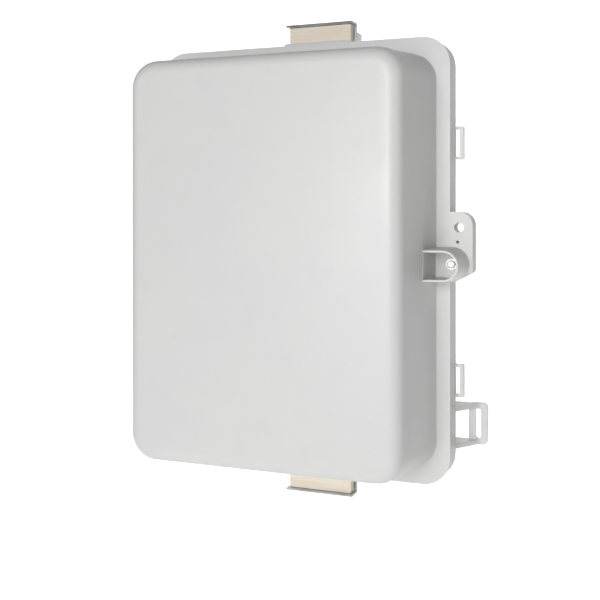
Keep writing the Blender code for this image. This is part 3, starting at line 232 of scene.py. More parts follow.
def makeStainless(name, along):
    f = Finish(name, Metallic=1.0)
    brushed = f.noise(1400.0, 3.0, 0.6, f.stretched(*along))
    stains = f.noise(45.0, 4.0, 0.6)
    dark, light, stain = tones["stainless"]
    tone = f.blendTones(brushed, dark, light)
    tone = f.blendTones(f.spread(stains, 0.0, 0.35, 0.55, 0.8), tone, stain)
    f.apply(Base_Color=tone, Roughness=f.spread(brushed, 0.22, 0.40))
    return f.bump(brushed, 0.3, 0.03 * mm).material


def makeBrass():
    f = Finish("turned_brass", Metallic=1.0)
    turned = f.noise(1800.0, 2.0, 0.5, f.stretched(0.2, 1.0, 0.2))
    tarnish = f.noise(120.0, 4.0, 0.6)
    tone = f.blendTones(f.spread(tarnish, 0.0, 0.8, 0.45, 0.75), *tones["brass"])
    f.apply(Base_Color=tone, Roughness=f.spread(turned, 0.18, 0.36))
    return f.bump(turned, 0.25, 0.02 * mm).material


def makeGoldPlate():
    f = Finish("gold_plate", Metallic=1.0)
    wear = f.noise(500.0, 3.0, 0.5)
    tone = f.blendTones(wear, *tones["gold"])
    f.apply(Base_Color=tone, Roughness=f.spread(wear, 0.14, 0.28))
    return f.bump(wear, 0.1, 0.01 * mm).material


def makeAluminium(name, base, rolled):
    f = Finish(name, Metallic=1.0)
    lines = f.noise(1100.0, 3.0, 0.55, f.stretched(*rolled))
    smudge = f.noise(24.0, 5.0, 0.6)
    tone = f.blendTones(lines, tuple(c * 0.86 for c in base), base)
    tone = f.blendTones(f.spread(smudge, 0.0, 0.4, 0.5, 0.8), tone, tuple(c * 0.74 for c in base))
    f.apply(Base_Color=tone, Roughness=f.spread(lines, 0.27, 0.40) + smudge * 0.08)
    return f.bump(lines, 0.3, 0.03 * mm).material


def makeSolderMask():
    # green lacquer over buried copper, whose tracks show as a paler, raised maze
    f = Finish("radio_solder_mask", Coat_Weight=0.35, Coat_Roughness=0.2)
    tracks = f.add("TexBrick", {"offset": 0.35}, {"Vector": f.turned(90), "Scale": 210.0, "Mortar Size": 0.018,
                                                  "Color1": (1.0, 1.0, 1.0), "Color2": (0.75, 0.75, 0.75),
                                                  "Mortar": (0.0, 0.0, 0.0)})
    blotch = f.noise(90.0, 4.0, 0.6)
    vias = f.cells(330.0) < 0.13
    gap, track, pale, via = tones["mask"]
    tone = f.blendTones(tracks, gap, track)
    tone = f.blendTones(f.spread(blotch, 0.0, 0.5, 0.4, 0.7), tone, pale)
    tone = f.blendTones(vias * 0.8, tone, via)
    f.apply(Base_Color=tone, Roughness=f.spread(blotch, 0.30, 0.45))
    return f.bump(tracks * 0.5 + vias, 0.25, 0.03 * mm).material


def makeLaminate():
    # bare glass-fibre board, woven
    f = Finish("antenna_laminate", Coat_Weight=0.15, Coat_Roughness=0.3)
    warp, weft = (f.add("TexWave", {"wave_type": "BANDS", "bands_direction": axis},
                        {"Vector": f.place, "Scale": 500.0, "Distortion": 0.6}, 1) for axis in "XZ")
    weave = warp * weft
    cloud = f.noise(30.0, 4.0, 0.6)
    resin, glass, shade = tones["laminate"]
    tone = f.blendTones(weave, resin, glass)
    tone = f.blendTones(f.spread(cloud, 0.0, 0.5, 0.4, 0.75), tone, shade)
    f.apply(Base_Color=tone, Roughness=f.spread(cloud, 0.38, 0.5))
    return f.bump(weave, 0.15, 0.02 * mm).material


def makeCopper():
    f = Finish("antenna_copper", Metallic=1.0)
    tarnish = f.noise(60.0, 5.0, 0.65)
    tone = f.blendTones(f.spread(tarnish, 0.0, 1.0, 0.35, 0.75), *tones["copper"])
    f.apply(Base_Color=tone, Roughness=f.spread(tarnish, 0.22, 0.42))
    return f.bump(f.noise(800.0), 0.1, 0.02 * mm).material


def makeScrewHighlight():
    # plated head, painted near white all over as a painted highlight, with a duller tone mixed in by wear noise
    f = Finish("bright_screw", Metallic=0.30)
    wear = f.noise(700.0, 3.0, 0.55)
    tone = f.blendTones(f.spread(wear, 0.0, 0.6, 0.5, 0.8), *tones["bright"])
    f.apply(Base_Color=tone, Roughness=f.spread(wear, 0.26, 0.42))
    return f.bump(wear, 0.15, 0.02 * mm).material


def makeMouldedBlack(name="moulded_black", tone=(0.028, 0.028, 0.031)):
    f = Finish(name, Specular_IOR_Level=0.45)
    grain = f.cells(1300.0)
    dust = f.noise(60.0, 5.0, 0.65)
    pale = tuple(min(1.0, c * 1.5 + 0.02) for c in tone)
    colour = f.blendTones(f.spread(dust, 0.0, 0.7, 0.5, 0.8), tone, pale)
    f.apply(Base_Color=colour, Roughness=f.spread(dust, 0.36, 0.55, 0.3, 0.7))
    return f.bump(grain, 0.3, 0.04 * mm).material


def makeCableJacket():
    f = Finish("cable_jacket", Specular_IOR_Level=0.4)
    scuffs = f.noise(180.0, 5.0, 0.65)
    tone = f.blendTones(f.spread(scuffs, 0.0, 0.8, 0.5, 0.8), *tones["cable"])
    f.apply(Base_Color=tone, Roughness=f.spread(scuffs, 0.34, 0.52))
    return f.bump(f.noise(1600.0), 0.25, 0.03 * mm).material


packingBlock = {"tone": (0.865, 0.765, 0.61), "pale": (0.93, 0.875, 0.785), "streak": (0.70, 0.585, 0.42)}


def makePackingBlock():
    # cream block with long streaks that wander along its length
    f = Finish("packing_block", Specular_IOR_Level=0.35)
    warp = f.noise(18.0, 3.0, 0.5)
    long = f.stretched(0.10, 1.0, 1.0)
    bands = f.noise(95.0, 5.0, 0.62, long)
    fibres = f.noise(900.0, 3.0, 0.6, f.stretched(0.04, 1.0, 1.0))
    tone = f.blendTones(f.spread(bands, 0.0, 1.0, 0.36, 0.68), packingBlock["tone"], packingBlock["pale"])
    tone = f.blendTones(f.spread(bands + warp * 0.4, 0.0, 0.55, 0.78, 0.98), tone, packingBlock["streak"])
    tone = f.blendTones(f.spread(fibres, 0.0, 0.30, 0.45, 0.8), tone, packingBlock["streak"])
    f.apply(Base_Color=tone, Roughness=f.spread(bands, 0.46, 0.62))
    return f.bump(fibres + bands, 0.4, 0.08 * mm).material


def makeSolderTin():
    f = Finish("tinned_copper", Metallic=1.0)
    ripple = f.noise(260.0, 4.0, 0.6)
    tone = f.blendTones(ripple, *tones["tin"])
    f.apply(Base_Color=tone, Roughness=f.spread(ripple, 0.18, 0.34))
    return f.bump(ripple, 0.3, 0.03 * mm).material


finishes = {
    "case": makeCasePlastic(),
    "rubber": makeFoamRubber(),
    "zinc": makeZincSteel(),
    "band": makeStainless("band_stainless", (0.05, 0.05, 1.0)),
    "steel": makeStainless("screw_steel", (1.0, 0.15, 1.0)),
    "bright": makeScrewHighlight(),
    "brass": makeBrass(),
    "gold": makeGoldPlate(),
    "copper": makeCopper(),
    "sheet": makeAluminium("rolled_aluminium", (0.80, 0.805, 0.81), (1.0, 1.0, 0.03)),
    "cast": makeAluminium("cast_aluminium", (0.60, 0.605, 0.61), (0.7, 0.7, 0.7)),
    "mask": makeSolderMask(),
    "laminate": makeLaminate(),
    "black": makeMouldedBlack(),
    "ferrite": makeMouldedBlack("ferrite_grey", (0.10, 0.10, 0.105)),
    "terminal": makeMouldedBlack("terminal_green", (0.02, 0.22, 0.10)),
    "ceramic": makeMouldedBlack("chip_ceramic", (0.42, 0.33, 0.24)),
    "nylon": makeMouldedBlack("white_nylon", (0.80, 0.80, 0.77)),
    "cable": makeCableJacket(),
    "cream": makePackingBlock(),
    "tin": makeSolderTin(),
}
print("finishes:", len(finishes))


# mesh helpers

def keep(piece, body, finish, stands):
    # every piece gets its finish and its body here
    piece.data.materials.clear()
    piece.data.materials.append(finishes[finish])
    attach(piece, body)
    if stands:
        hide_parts(*stands)
    return piece


sharpAngle = 32  # degrees between faces, above which an edge is shaded as a sharp one


def objectFrom(bm, name, angle=sharpAngle):
    mesh = bpy.data.meshes.new(name)
    bm.normal_update()
    bm.to_mesh(mesh)
    bm.free()
    mesh.shade_smooth()
    mesh.set_sharp_from_angle(angle=math.radians(angle))
    piece = bpy.data.objects.new(name, mesh)
    bpy.context.scene.collection.objects.link(piece)
    return piece


def soften(piece, width, steps=2, angle=35):
    # small rounds on every sharp edge
    bevel = piece.modifiers.new("edge_round", "BEVEL")
    bevel.width = width
    bevel.segments = steps
    bevel.limit_method = "ANGLE"
    bevel.angle_limit = math.radians(angle)
    bevel.use_clamp_overlap = True
    bevel.harden_normals = True


def dress(node, finish, width=0.35 * mm, steps=2, angle=35):
    # a piece cut from the frame's node, cleaned of its triangles and given soft edges
    bm = bmesh.new()
    bm.from_mesh(frame["nodes"][node].data)
    bmesh.ops.remove_doubles(bm, verts=bm.verts, dist=0.004 * mm)
    bmesh.ops.dissolve_limit(bm, angle_limit=math.radians(0.5), verts=bm.verts, edges=bm.edges)
    piece = objectFrom(bm, node + "_made")
    if width:
        soften(piece, width, steps, angle)
    return keep(piece, bodyOf[node], finish, [node])


def carve(piece, cutter, operation="DIFFERENCE"):
    # the Boolean is made at once, ahead of the piece's own edge round, and its cutter removed
    rounds = [(m.width, m.segments, m.angle_limit) for m in piece.modifiers if m.type == "BEVEL"]
    piece.modifiers.clear()
    cut = piece.modifiers.new("carve", "BOOLEAN")
    cut.operation = operation
    cut.object = cutter
    made = bpy.data.meshes.new_from_object(piece.evaluated_get(bpy.context.evaluated_depsgraph_get()))
    piece.modifiers.clear()
    piece.data = made
    made.set_sharp_from_angle(angle=math.radians(sharpAngle))
    bpy.data.objects.remove(cutter, do_unlink=True)
    for width, steps, angle in rounds:
        soften(piece, width, steps, math.degrees(angle))


def addBox(bm, low, high, round=0.0, steps=2):
    made = bmesh.ops.create_cube(bm, size=1.0)["verts"]
    low, high = Vector(low) * mm, Vector(high) * mm
    size = high - low
    for vert in made:
        vert.co = Vector(a * b for a, b in zip(vert.co, size)) + (low + high) / 2
    if round:
        edges = list(dict.fromkeys(edge for vert in made for edge in vert.link_edges))
        bmesh.ops.bevel(bm, geom=edges, offset=round * mm, segments=steps, profile=0.5, affect="EDGES")


# heights run along +X, -Y or +Z
turns = {"X": Matrix(((0, 0, 1), (1, 0, 0), (0, 1, 0))).to_4x4(), "Y": Matrix.Rotation(math.pi / 2, 4, "X"),
         "Z": Matrix.Identity(4)}


def addRings(bm, axis, centre, rings, sides):
    # rings of (height, radius at each corner); a ring of no radius is a single point
    tiny = 1e-4
    base = Matrix.Translation(Vector(centre) * mm) @ turns[axis]
    made = []
    for height, radiusAt in rings:
        if radiusAt(0) < tiny:
            made.append([bm.verts.new(base @ Vector((0, 0, height * mm)))])
            continue
        made.append([bm.verts.new(base @ Vector((radiusAt(i) * math.cos(2 * math.pi * i / sides) * mm,
                                                 radiusAt(i) * math.sin(2 * math.pi * i / sides) * mm,
                                                 height * mm))) for i in range(sides)])
    faces = []
    for a, b in zip(made, made[1:]):
        for i in range(sides):
            j = (i + 1) % sides
            corners = list(dict.fromkeys([a[i % len(a)], a[j % len(a)], b[j % len(b)], b[i % len(b)]]))
            if len(corners) > 2:
                faces.append(bm.faces.new(corners))
    bmesh.ops.recalc_face_normals(bm, faces=faces)


def addTurned(bm, axis, centre, outline, sides=32):
    # a lathe: (radius, height) from one end to the other, with the depth of a knurl as a third number
    rings = [(step[1], lambda i, step=step: step[0] - (step[2] * (i % 2) if len(step) > 2 else 0.0))
             for step in outline]
    addRings(bm, axis, centre, rings, sides)


# depth, steps and first height as parts of a pitch; a thread's end stops short of its core's
# end, so that no two faces share a plane
thread = {"depth": 0.55, "steps": 4, "start": 0.15, "shy": 0.18}


def addThread(bm, axis, centre, radius, pitch, low, high, sides=24):
    # a helix cut into a bar, with its ends closed
    depth, start, first = pitch * thread["depth"], thread["start"], low + thread["shy"]
    steps = max(thread["steps"], round((high - low) / pitch * thread["steps"]))
    heights = [low + (high - low) * k / steps for k in range(steps + 1)]

    def at(height):
        taper = min(1.0, (high - height) / pitch + start, (height - low) / pitch + start)
        return lambda i: radius - depth + depth * taper * abs(2 * ((height / pitch - i / sides) % 1.0) - 1)
    rings = [(first, lambda i: 0.0), (first, at(low))]
    rings += [(height, at(height)) for height in heights[1:]] + [(high, lambda i: 0.0)]
    addRings(bm, axis, centre, rings, sides)


def makePiece(name, node, finish, build, width=0.0, stands=()):
    # a new piece that rides with a node; build adds its shape
    bm = bmesh.new()
    build(bm)
    piece = objectFrom(bm, name)
    if width:
        soften(piece, width)
    return keep(piece, bodyOf[node], finish, stands)


def cutterFrom(build):
    bm = bmesh.new()
    build(bm)
    return objectFrom(bm, "cutter")


def middleOf(node):
    low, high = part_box(node)
    return [(a + b) / 2 / mm for a, b in zip(low, high)]


def spanOf(node):
    low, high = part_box(node)
    return [a / mm for a in low], [a / mm for a in high]


# case

shell = {
    "lidRound": 0.8 * mm, "rimRound": 0.7 * mm, "gasketRound": 1.0 * mm,
    "rib": 1.8, "foot": 0.4,  # a rib's thickness, and how deep it is rooted in the wall
    "lidWall": 3.0, "lidRib": 3.2, "lidReach": (118, 172),
    "lidRibX": (-84, -28, 28, 84), "lidRibZ": (-130, -65, 0, 65, 130),
    "lidMarks": ((-56, 98), (56, 98), (-56, -98), (56, -98), (0, 0)),
    "webDepth": (15.4, 20.2), "sideWebs": (11, 170), "endWebs": (8, 122),  # how many, and how far out
    "sideGap": (145.8, 153.9), "endGap": (205.8, 213.9),
    "back": -53.35, "backRib": 1.4, "backReach": (130, 186),
    "backRibX": (-104, -52, 52, 104), "backRibZ": (-150, -75, 0, 75, 150),
    "backMarks": ((-78, 112), (78, 112), (-78, -112), (78, -112), (-78, 0), (78, 0)),
}

dress("lid_cover", "case", shell["lidRound"], 3, 40)
dress("base_housing", "case", shell["rimRound"], 2, 40)
dress("lid_gasket", "rubber", shell["gasketRound"], 3)
lidFront = spanOf("lid_cover")[0][1]
baseFront = spanOf("base_housing")[0][1]


def lidRibs(bm):
    inside = lidFront + shell["lidWall"]
    half, foot, top = shell["rib"] / 2, inside - shell["foot"], inside + shell["lidRib"]
    wide, tall = shell["lidReach"]
    for x in shell["lidRibX"]:
        addBox(bm, (x - half, foot, -tall), (x + half, top, tall), 0.4)
    for z in shell["lidRibZ"]:
        addBox(bm, (-wide, foot, z - half), (wide, top - 0.5, z + half), 0.4)
    for x, z in shell["lidMarks"]:
        addTurned(bm, "Y", (x, 0, z), [(0, -inside - 1.0), (3.4, -inside - 1.0), (4.0, -inside - 0.6),
                                       (4.0, -inside + 0.4), (0, -inside + 0.4)], 24)


def rimRibs(bm):
    # webs between the skirt and the tub, seen from behind
    half = shell["rib"] / 2
    front, back = (baseFront + depth for depth in shell["webDepth"])
    count, reach = shell["sideWebs"]
    for k in range(count):
        z = -reach + 2 * reach * k / (count - 1)
        for side in (-1, 1):
            xs = sorted(side * x for x in shell["sideGap"])
            addBox(bm, (xs[0], front, z - half), (xs[1], back, z + half))
    count, reach = shell["endWebs"]
    for k in range(count):
        x = -reach + 2 * reach * k / (count - 1)
        for side in (-1, 1):
            zs = sorted(side * z for z in shell["endGap"])
            addBox(bm, (x - half, front, zs[0]), (x + half, back, zs[1]))


def tubRibs(bm):
    # low ribs and ejector marks on the tub's back, inside its 2 mm relief
    back = shell["back"]
    half, foot, top = shell["rib"] / 2, back - shell["foot"], back + shell["backRib"]
    wide, tall = shell["backReach"]
    for x in shell["backRibX"]:
        addBox(bm, (x - half, foot, -tall), (x + half, top, tall), 0.3)
    for z in shell["backRibZ"]:
        addBox(bm, (-wide, foot, z - half), (wide, top - 0.3, z + half), 0.3)
    for x, z in shell["backMarks"]:
        addTurned(bm, "Y", (x, 0, z), [(0, -back - 0.5), (5.0, -back - 0.5), (5.0, -back + 0.1), (4.4, -back + 0.4),
                                       (4.0, -back + 0.2), (0, -back + 0.1)], 28)


makePiece("lid_ribs", "lid_cover", "case", lidRibs)
makePiece("rim_ribs", "base_housing", "case", rimRibs, 0.25 * mm)
makePiece("tub_ribs", "base_housing", "case", tubRibs)
print("case done")


# latch and hinges

latch = {"head": 4.0, "headHeight": 3.2, "shank": 2.0, "plain": 9.5, "pitch": 0.7, "pin": 0.62, "bore": 2.95,
         "insert": 4.2}
latchX, _, latchZ = middleOf("latch_screw")
screwTop, screwTip = (-edge[1] for edge in spanOf("latch_screw"))


def latchScrew(bm):
    tip, top, shank, r = screwTip, screwTop, latch["shank"], latch["head"]
    under, plain = top - latch["headHeight"], tip + latch["plain"]
    addTurned(bm, "Y", (latchX, 0, latchZ), [(0, plain), (shank, plain), (shank, under), (r - 0.3, under),
                                             (r, under + 0.35), (r, top - 1.3), (r - 0.25, top - 0.6),
                                             (r - 0.9, top - 0.12), (2.6, top), (0, top)], 40)
    addThread(bm, "Y", (latchX, 0, latchZ), shank, latch["pitch"], tip, plain + 0.1, 20)


def latchSocket(bm):
    top = screwTop
    addTurned(bm, "Y", (latchX, 0, latchZ), [(0, top - 2.0), (2.0, top - 1.7), (2.05, top - 0.3), (2.4, top + 0.5),
                                             (0, top + 0.5)], 6)


def latchPin(bm):
    top, r = screwTop, latch["pin"]
    addTurned(bm, "Y", (latchX, 0, latchZ), [(0, top - 2.3), (r, top - 2.3), (r, top - 0.5), (0, top - 0.25)], 16)


screw = makePiece("latch_screw_made", "latch_screw", "bright", latchScrew, stands=["latch_screw"])
carve(screw, cutterFrom(latchSocket))
makePiece("latch_pin", "latch_screw", "bright", latchPin)
dress("latch_washer", "steel", 0.2 * mm)


def knurledInsert(bm):
    front, back = (-edge[1] for edge in spanOf("latch_insert"))
    bore, r = latch["bore"], latch["insert"]
    addTurned(bm, "Y", (latchX, 0, latchZ),
              [(bore, back), (r - 0.5, back), (r, back + 0.5), (r, back + 1.2, 0.3), (r, back + 4.4, 0.3),
               (r - 0.7, back + 4.6), (r - 0.7, back + 6.2), (r, back + 6.4, 0.3), (r, front - 0.9, 0.3),
               (r - 0.4, front), (bore, front), (bore, back)], 48)


def hingePin(bm, name):
    # a tapered tip below, and a groove near the top
    x, y, _ = middleOf(name)
    low, high = (edge[2] for edge in spanOf(name))
    addTurned(bm, "Z", (x, y, 0), [(0, low), (1.4, low), (2.0, low + 0.7), (2.0, high - 1.0), (1.75, high - 0.9),
                                   (1.75, high - 0.6), (2.0, high - 0.5), (1.6, high - 0.1), (0, high)], 24)


makePiece("latch_insert_made", "latch_insert", "brass", knurledInsert, stands=["latch_insert"])
for level in ("upper", "lower"):
    pin = "hinge_pin_" + level
    makePiece(pin + "_made", pin, "steel", lambda bm: hingePin(bm, pin), stands=[pin])
print("latch and hinges done")


# mounting plate and antenna

punches = {"x": (-118, -88, 88, 118), "z": (-100, -20, 20, 100), "hole": 1.6, "through": (60, 70),
           "slotX": (-60, 60), "slotZ": (168, 176), "slotHalf": 2}
plate = dress("mounting_plate", "sheet", 0.4 * mm)


def platePunches(bm):
    # spare fixing holes, and two slots at the top
    (front, back), r = punches["through"], punches["hole"]
    for x in punches["x"]:
        for z in punches["z"]:
            addTurned(bm, "Y", (x, 0, z), [(0, front), (r, front), (r, back), (0, back)], 16)
    for x in punches["slotX"]:
        addBox(bm, (x - punches["slotHalf"], -back, punches["slotZ"][0]),
               (x + punches["slotHalf"], -front, punches["slotZ"][1]))


carve(plate, cutterFrom(platePunches))
for number in range(1, 5):
    dress("plate_screw_%d" % number, "steel", 0.45 * mm, 3)
    dress("antenna_standoff_%d" % number, "sheet", 0.3 * mm)

# each kind of strip has its own thickness, so no two tops lie in one plane
antenna = {"patch": 21.0, "pitch": 50.0, "stub": 15.0, "line": 1.3, "riser": 2.2, "trunk": 3.08, "copper": 0.14,
           "thick": {"patch": 1.0, "stub": 0.8, "pair": 0.9, "riser": 0.7, "row": 0.85, "trunk": 0.75},
           "rivetAt": 104}
boardFront = spanOf("antenna_board")[0][1]
boardZ = middleOf("antenna_board")[2]
dress("antenna_board", "laminate", 0.2 * mm)
dress("antenna_reflector", "sheet", 0.35 * mm)


def patchArray(bm):
    def strip(kind, x0, z0, x1, z1, wide):
        x0, x1, z0, z1 = min(x0, x1), max(x0, x1), min(z0, z1), max(z0, z1)
        h = wide / 2
        addBox(bm, (x0 - h, boardFront - antenna["thick"][kind] * antenna["copper"], boardZ + z0 - h),
               (x1 + h, boardFront + 0.05, boardZ + z1 + h))
    half, pitch, stub = antenna["patch"] / 2, antenna["pitch"], antenna["stub"]
    line, riser = antenna["line"], antenna["riser"]
    rows = [pitch * (k - 1.5) for k in range(4)]
    for x in rows:
        for number, z in enumerate(rows):
            side = 1 if number % 2 == 0 else -1
            strip("patch", x - half, z - half, x + half, z + half, 0.0)
            strip("stub", x, z + side * half, x, z + side * stub, line)
    for pair in (-pitch, pitch):
        for number, z in enumerate(rows):
            side = 1 if number % 2 == 0 else -1
            strip("pair", pair - pitch / 2, z + side * stub, pair + pitch / 2, z + side * stub, line)
        for middle in (-pitch, pitch):
            strip("riser", pair, middle - pitch / 2 + stub, pair, middle + pitch / 2 - stub, riser)
    for middle in (-pitch, pitch):
        strip("row", -pitch, middle, pitch, middle, riser)
    strip("trunk", 0, -pitch, 0, pitch, antenna["trunk"])


def boardRivets(bm):
    face, reach = -boardFront, antenna["rivetAt"]
    for x in (-reach, 0, reach):
        for z in (-reach, 0, reach):
            if x or z:
                addTurned(bm, "Y", (x, 0, boardZ + z), [(0, face - 0.4), (3.2, face), (3.0, face + 0.5),
                                                        (1.9, face + 1.1), (0.9, face + 1.1), (0.7, face + 0.6),
                                                        (0, face + 0.6)], 24)


makePiece("antenna_patches", "antenna_board", "copper", patchArray)
makePiece("antenna_rivets", "antenna_board", "nylon", boardRivets)


def feedSleeve(bm, feed):
    x, _, z = middleOf(feed)
    end = -spanOf(feed)[1][1]
    addTurned(bm, "Y", (x, 0, z), [(1.5, end - 9.0), (2.1, end - 8.6), (2.4, end - 4.2), (3.3, end - 4.0),
                                   (3.3, end - 0.6), (1.5, end - 0.4), (1.5, end - 9.0)], 24)


def jackSleeve(bm, jack):
    x, _, z = middleOf(jack)
    end = -spanOf(jack)[0][1]
    addTurned(bm, "Y", (x, 0, z), [(1.5, end + 0.4), (3.3, end + 0.5), (3.3, end + 3.6), (2.4, end + 3.9),
                                   (2.1, end + 8.2), (1.5, end + 8.6), (1.5, end + 0.4)], 24)


for side in ("left", "right"):
    feed, jack, lead = "feed_connector_" + side, "coax_jack_" + side, "coax_lead_" + side
    dress(feed, "gold", 0.25 * mm)
    dress(lead, "cable", 0)
    makePiece(feed + "_sleeve", lead, "cable", lambda bm: feedSleeve(bm, feed))
    dress(jack, "gold", 0.25 * mm)
    makePiece(jack + "_sleeve", lead, "cable", lambda bm: jackSleeve(bm, jack))
print("plate and antenna done")


# radio

radio = {
    # x, z, width, height, thickness, and legs on a side
    "chips": ((12, -103, 14, 14, 1.3, 12), (-8, -124, 9, 9, 1.0, 8), (32, -98, 8, 8, 1.0, 7),
              (30, -120, 6, 5, 0.9, 0), (-10, -104, 5, 6, 0.9, 0), (8, -136, 10, 6, 1.5, 7)),
    "screws": ((-90.5, -160.5), (-90.5, -69.5), (50.5, -160.5), (50.5, -69.5)),
    "inductors": ((30, -108), (-12, -140), (22, -148)), "capacitors": ((-4, -153), (8, -153)),
    "seed": 11, "resistors": 90, "resistorX": (-18, 48), "resistorZ": (-150, -84),
    # x, half width, z and half height of what the resistors keep away from
    "taken": ((12, 10, -103, 10), (-8, 8, -124, 8), (32, 7, -98, 7), (30, 6, -120, 5), (-10, 5, -104, 5),
              (8, 8, -136, 6), (30, 5, -108, 5), (-12, 5, -140, 5), (22, 5, -148, 5), (-4, 6, -153, 6),
              (8, 6, -153, 6), (43, 11, -142, 11)),
    "header": (24, -74), "headerPitch": 2.54, "lamps": 5, "lampX": -10, "lampPitch": 6.0, "lampZ": (-162.2, -160.6),
}
deck = spanOf("radio_board")[0][1]  # the board's face; parts stand on it towards -Y
dress("radio_carrier", "black", 0.5 * mm)
dress("radio_board", "mask", 0.2 * mm)
dress("radio_shield", "cast", 0.5 * mm)


def addMark(bm, x, z, outline, sides):
    # something round that stands on the board: (radius, height above its face)
    addTurned(bm, "Y", (x, 0, z), [(radius, height - deck) for radius, height in outline], sides)


def chipBodies(bm):
    for x, z, wide, tall, high, _ in radio["chips"]:
        addBox(bm, (x - wide / 2, deck - high - 0.2, z - tall / 2), (x + wide / 2, deck - 0.2, z + tall / 2), 0.25)
        addMark(bm, x - wide / 2 + 1.2, z + tall / 2 - 1.2,
                [(0, high + 0.15), (0.5, high + 0.15), (0.4, high + 0.25), (0, high + 0.25)], 12)


def chipLegs(bm):
    half, inner, outer, top, foot = 0.2, 0.2, 1.1, deck - 0.35, deck + 0.05
    for x, z, wide, tall, _, count in radio["chips"]:
        for k in range(count):
            t = (k + 0.5) / count - 0.5
            for side in (-1, 1):
                ends = sorted((x + side * (wide / 2 - inner), x + side * (wide / 2 + outer)))
                addBox(bm, (ends[0], top, z + t * tall - half), (ends[1], foot, z + t * tall + half))
                ends = sorted((z + side * (tall / 2 - inner), z + side * (tall / 2 + outer)))
                addBox(bm, (x + t * wide - half, top, ends[0]), (x + t * wide + half, foot, ends[1]))
    for x, z in radio["screws"]:
        addMark(bm, x, z, [(0, -0.1), (2.9, 0), (2.9, 0.12), (0, 0.12)], 24)


def boardScrews(bm):
    for x, z in radio["screws"]:
        addMark(bm, x, z, [(0, 0), (2.3, 0.1), (2.4, 0.7), (1.9, 1.3), (1.0, 1.55), (0.55, 1.55), (0.5, 0.7),
                           (0, 0.7)], 24)


def inductors(bm):
    for x, z in radio["inductors"]:
        addBox(bm, (x - 3, deck - 3.1, z - 3), (x + 3, deck - 0.1, z + 3), 0.6, 3)
        addMark(bm, x, z, [(0, 3.0), (1.9, 3.0), (1.7, 3.25), (0, 3.25)], 20)


def capacitors(bm):
    for x, z in radio["capacitors"]:
        addMark(bm, x, z, [(0, 0), (3.9, 0), (4.0, 0.8), (3.7, 1.1), (4.0, 1.5), (4.0, 8.4), (3.5, 9.0), (3.2, 8.7),
                           (0, 8.7)], 28)


def smallParts(bm, wanted):
    # resistors take the even draws and ceramics the odd ones, from the same throw of the dice
    dice = random.Random(radio["seed"])
    for number in range(radio["resistors"]):
        x, z = dice.uniform(*radio["resistorX"]), dice.uniform(*radio["resistorZ"])
        upright = dice.random() < 0.5
        busy = any(abs(x - a) < b and abs(z - c) < d for a, b, c, d in radio["taken"])
        if busy or (number % 2 == 0) != wanted:
            continue
        a, b = (0.45, 0.85) if upright else (0.85, 0.45)
        addBox(bm, (x - a, deck - 0.6, z - b), (x + a, deck + 0.02, z + b), 0.1, 1)


def headerPins(bm):
    half, pitch = 0.32, radio["headerPitch"]
    for row in range(2):
        for k in range(5):
            x, z = radio["header"][0] + pitch * k, radio["header"][1] - pitch * row
            addBox(bm, (x - half, deck - 8.0, z - half), (x + half, deck - 0.1, z + half), 0.15, 1)


def headerBase(bm):
    x, z = radio["header"]
    addBox(bm, (x - 1.4, deck - 2.6, z - 3.9), (x + 11.6, deck - 0.05, z + 1.3), 0.3)


def statusLamps(bm):
    low, high = radio["lampZ"]
    for k in range(radio["lamps"]):
        x = radio["lampX"] + radio["lampPitch"] * k
        addBox(bm, (x - 0.8, deck - 0.9, low), (x + 0.8, deck, high), 0.2)


for name, finish, build in (("chips", "black", chipBodies), ("legs", "tin", chipLegs),
                            ("screws", "steel", boardScrews), ("inductors", "ferrite", inductors),
                            ("capacitors", "cast", capacitors),
                            ("resistors", "black", lambda bm: smallParts(bm, True)),
                            ("ceramics", "ceramic", lambda bm: smallParts(bm, False)),
                            ("header", "gold", headerPins), ("header_base", "black", headerBase),
                            ("lamps", "nylon", statusLamps)):
    makePiece("radio_" + name, "radio_board", finish, build)


def jackShell(bm):
    low, high = spanOf("ethernet_jack")
    addBox(bm, (low[0] + 0.2, low[1] - 0.25, low[2] + 0.2), (high[0] - 3.0, high[1] - 0.2, high[2] - 0.2), 0.2)
    for z in (low[2] + 4.5, high[2] - 4.5):
        addBox(bm, (low[0] + 3, low[1] - 0.55, z - 0.9), (high[0] - 5, low[1] - 0.1, z + 0.9), 0.2)


def leadPlug(bm):
    _, y, z = middleOf("ethernet_jack")
    end = spanOf("ethernet_jack")[1][0]
    addBox(bm, (end - 1.5, y - 3.6, z - 5.2), (end + 3.5, y + 3.6, z + 5.2), 0.5)
    addTurned(bm, "X", (0, y, z), [(0, end + 3.2), (4.0, end + 3.2), (3.7, end + 5.0), (3.1, end + 5.2),
                                   (3.4, end + 6.4), (2.9, end + 6.6), (3.1, end + 7.8), (2.6, end + 8.0),
                                   (0, end + 8.0)], 24)


dress("ethernet_jack", "black", 0.3 * mm)
dress("radio_lead", "cable", 0)
dress("entry_lead", "cable", 0)
makePiece("jack_shell", "ethernet_jack", "tin", jackShell)
makePiece("lead_plug", "radio_lead", "black", leadPlug)


def leadSleeves(bm):
    end = spanOf("entry_lead")[0][2]
    x, y, _ = middleOf("port_nut")
    addTurned(bm, "Z", (x, y, 0), [(2.4, end + 0.2), (4.4, end + 0.2), (4.4, end + 3.4), (3.4, end + 4.2),
                                   (3.1, end + 8.6), (2.4, end + 8.8), (2.4, end + 0.2)], 28)
    left, _, end = spanOf("surge_module")[0]
    x, y = left + 16, middleOf("surge_module")[1]
    addTurned(bm, "Z", (x, y, 0), [(2.4, end - 7.5), (3.2, end - 7.2), (3.5, end - 3.2), (4.4, end - 3.0),
                                   (4.4, end - 0.4), (2.4, end - 0.4), (2.4, end - 7.5)], 28)


makePiece("lead_sleeves", "entry_lead", "black", leadSleeves)
print("radio done")


# surge protector and bottom fittings

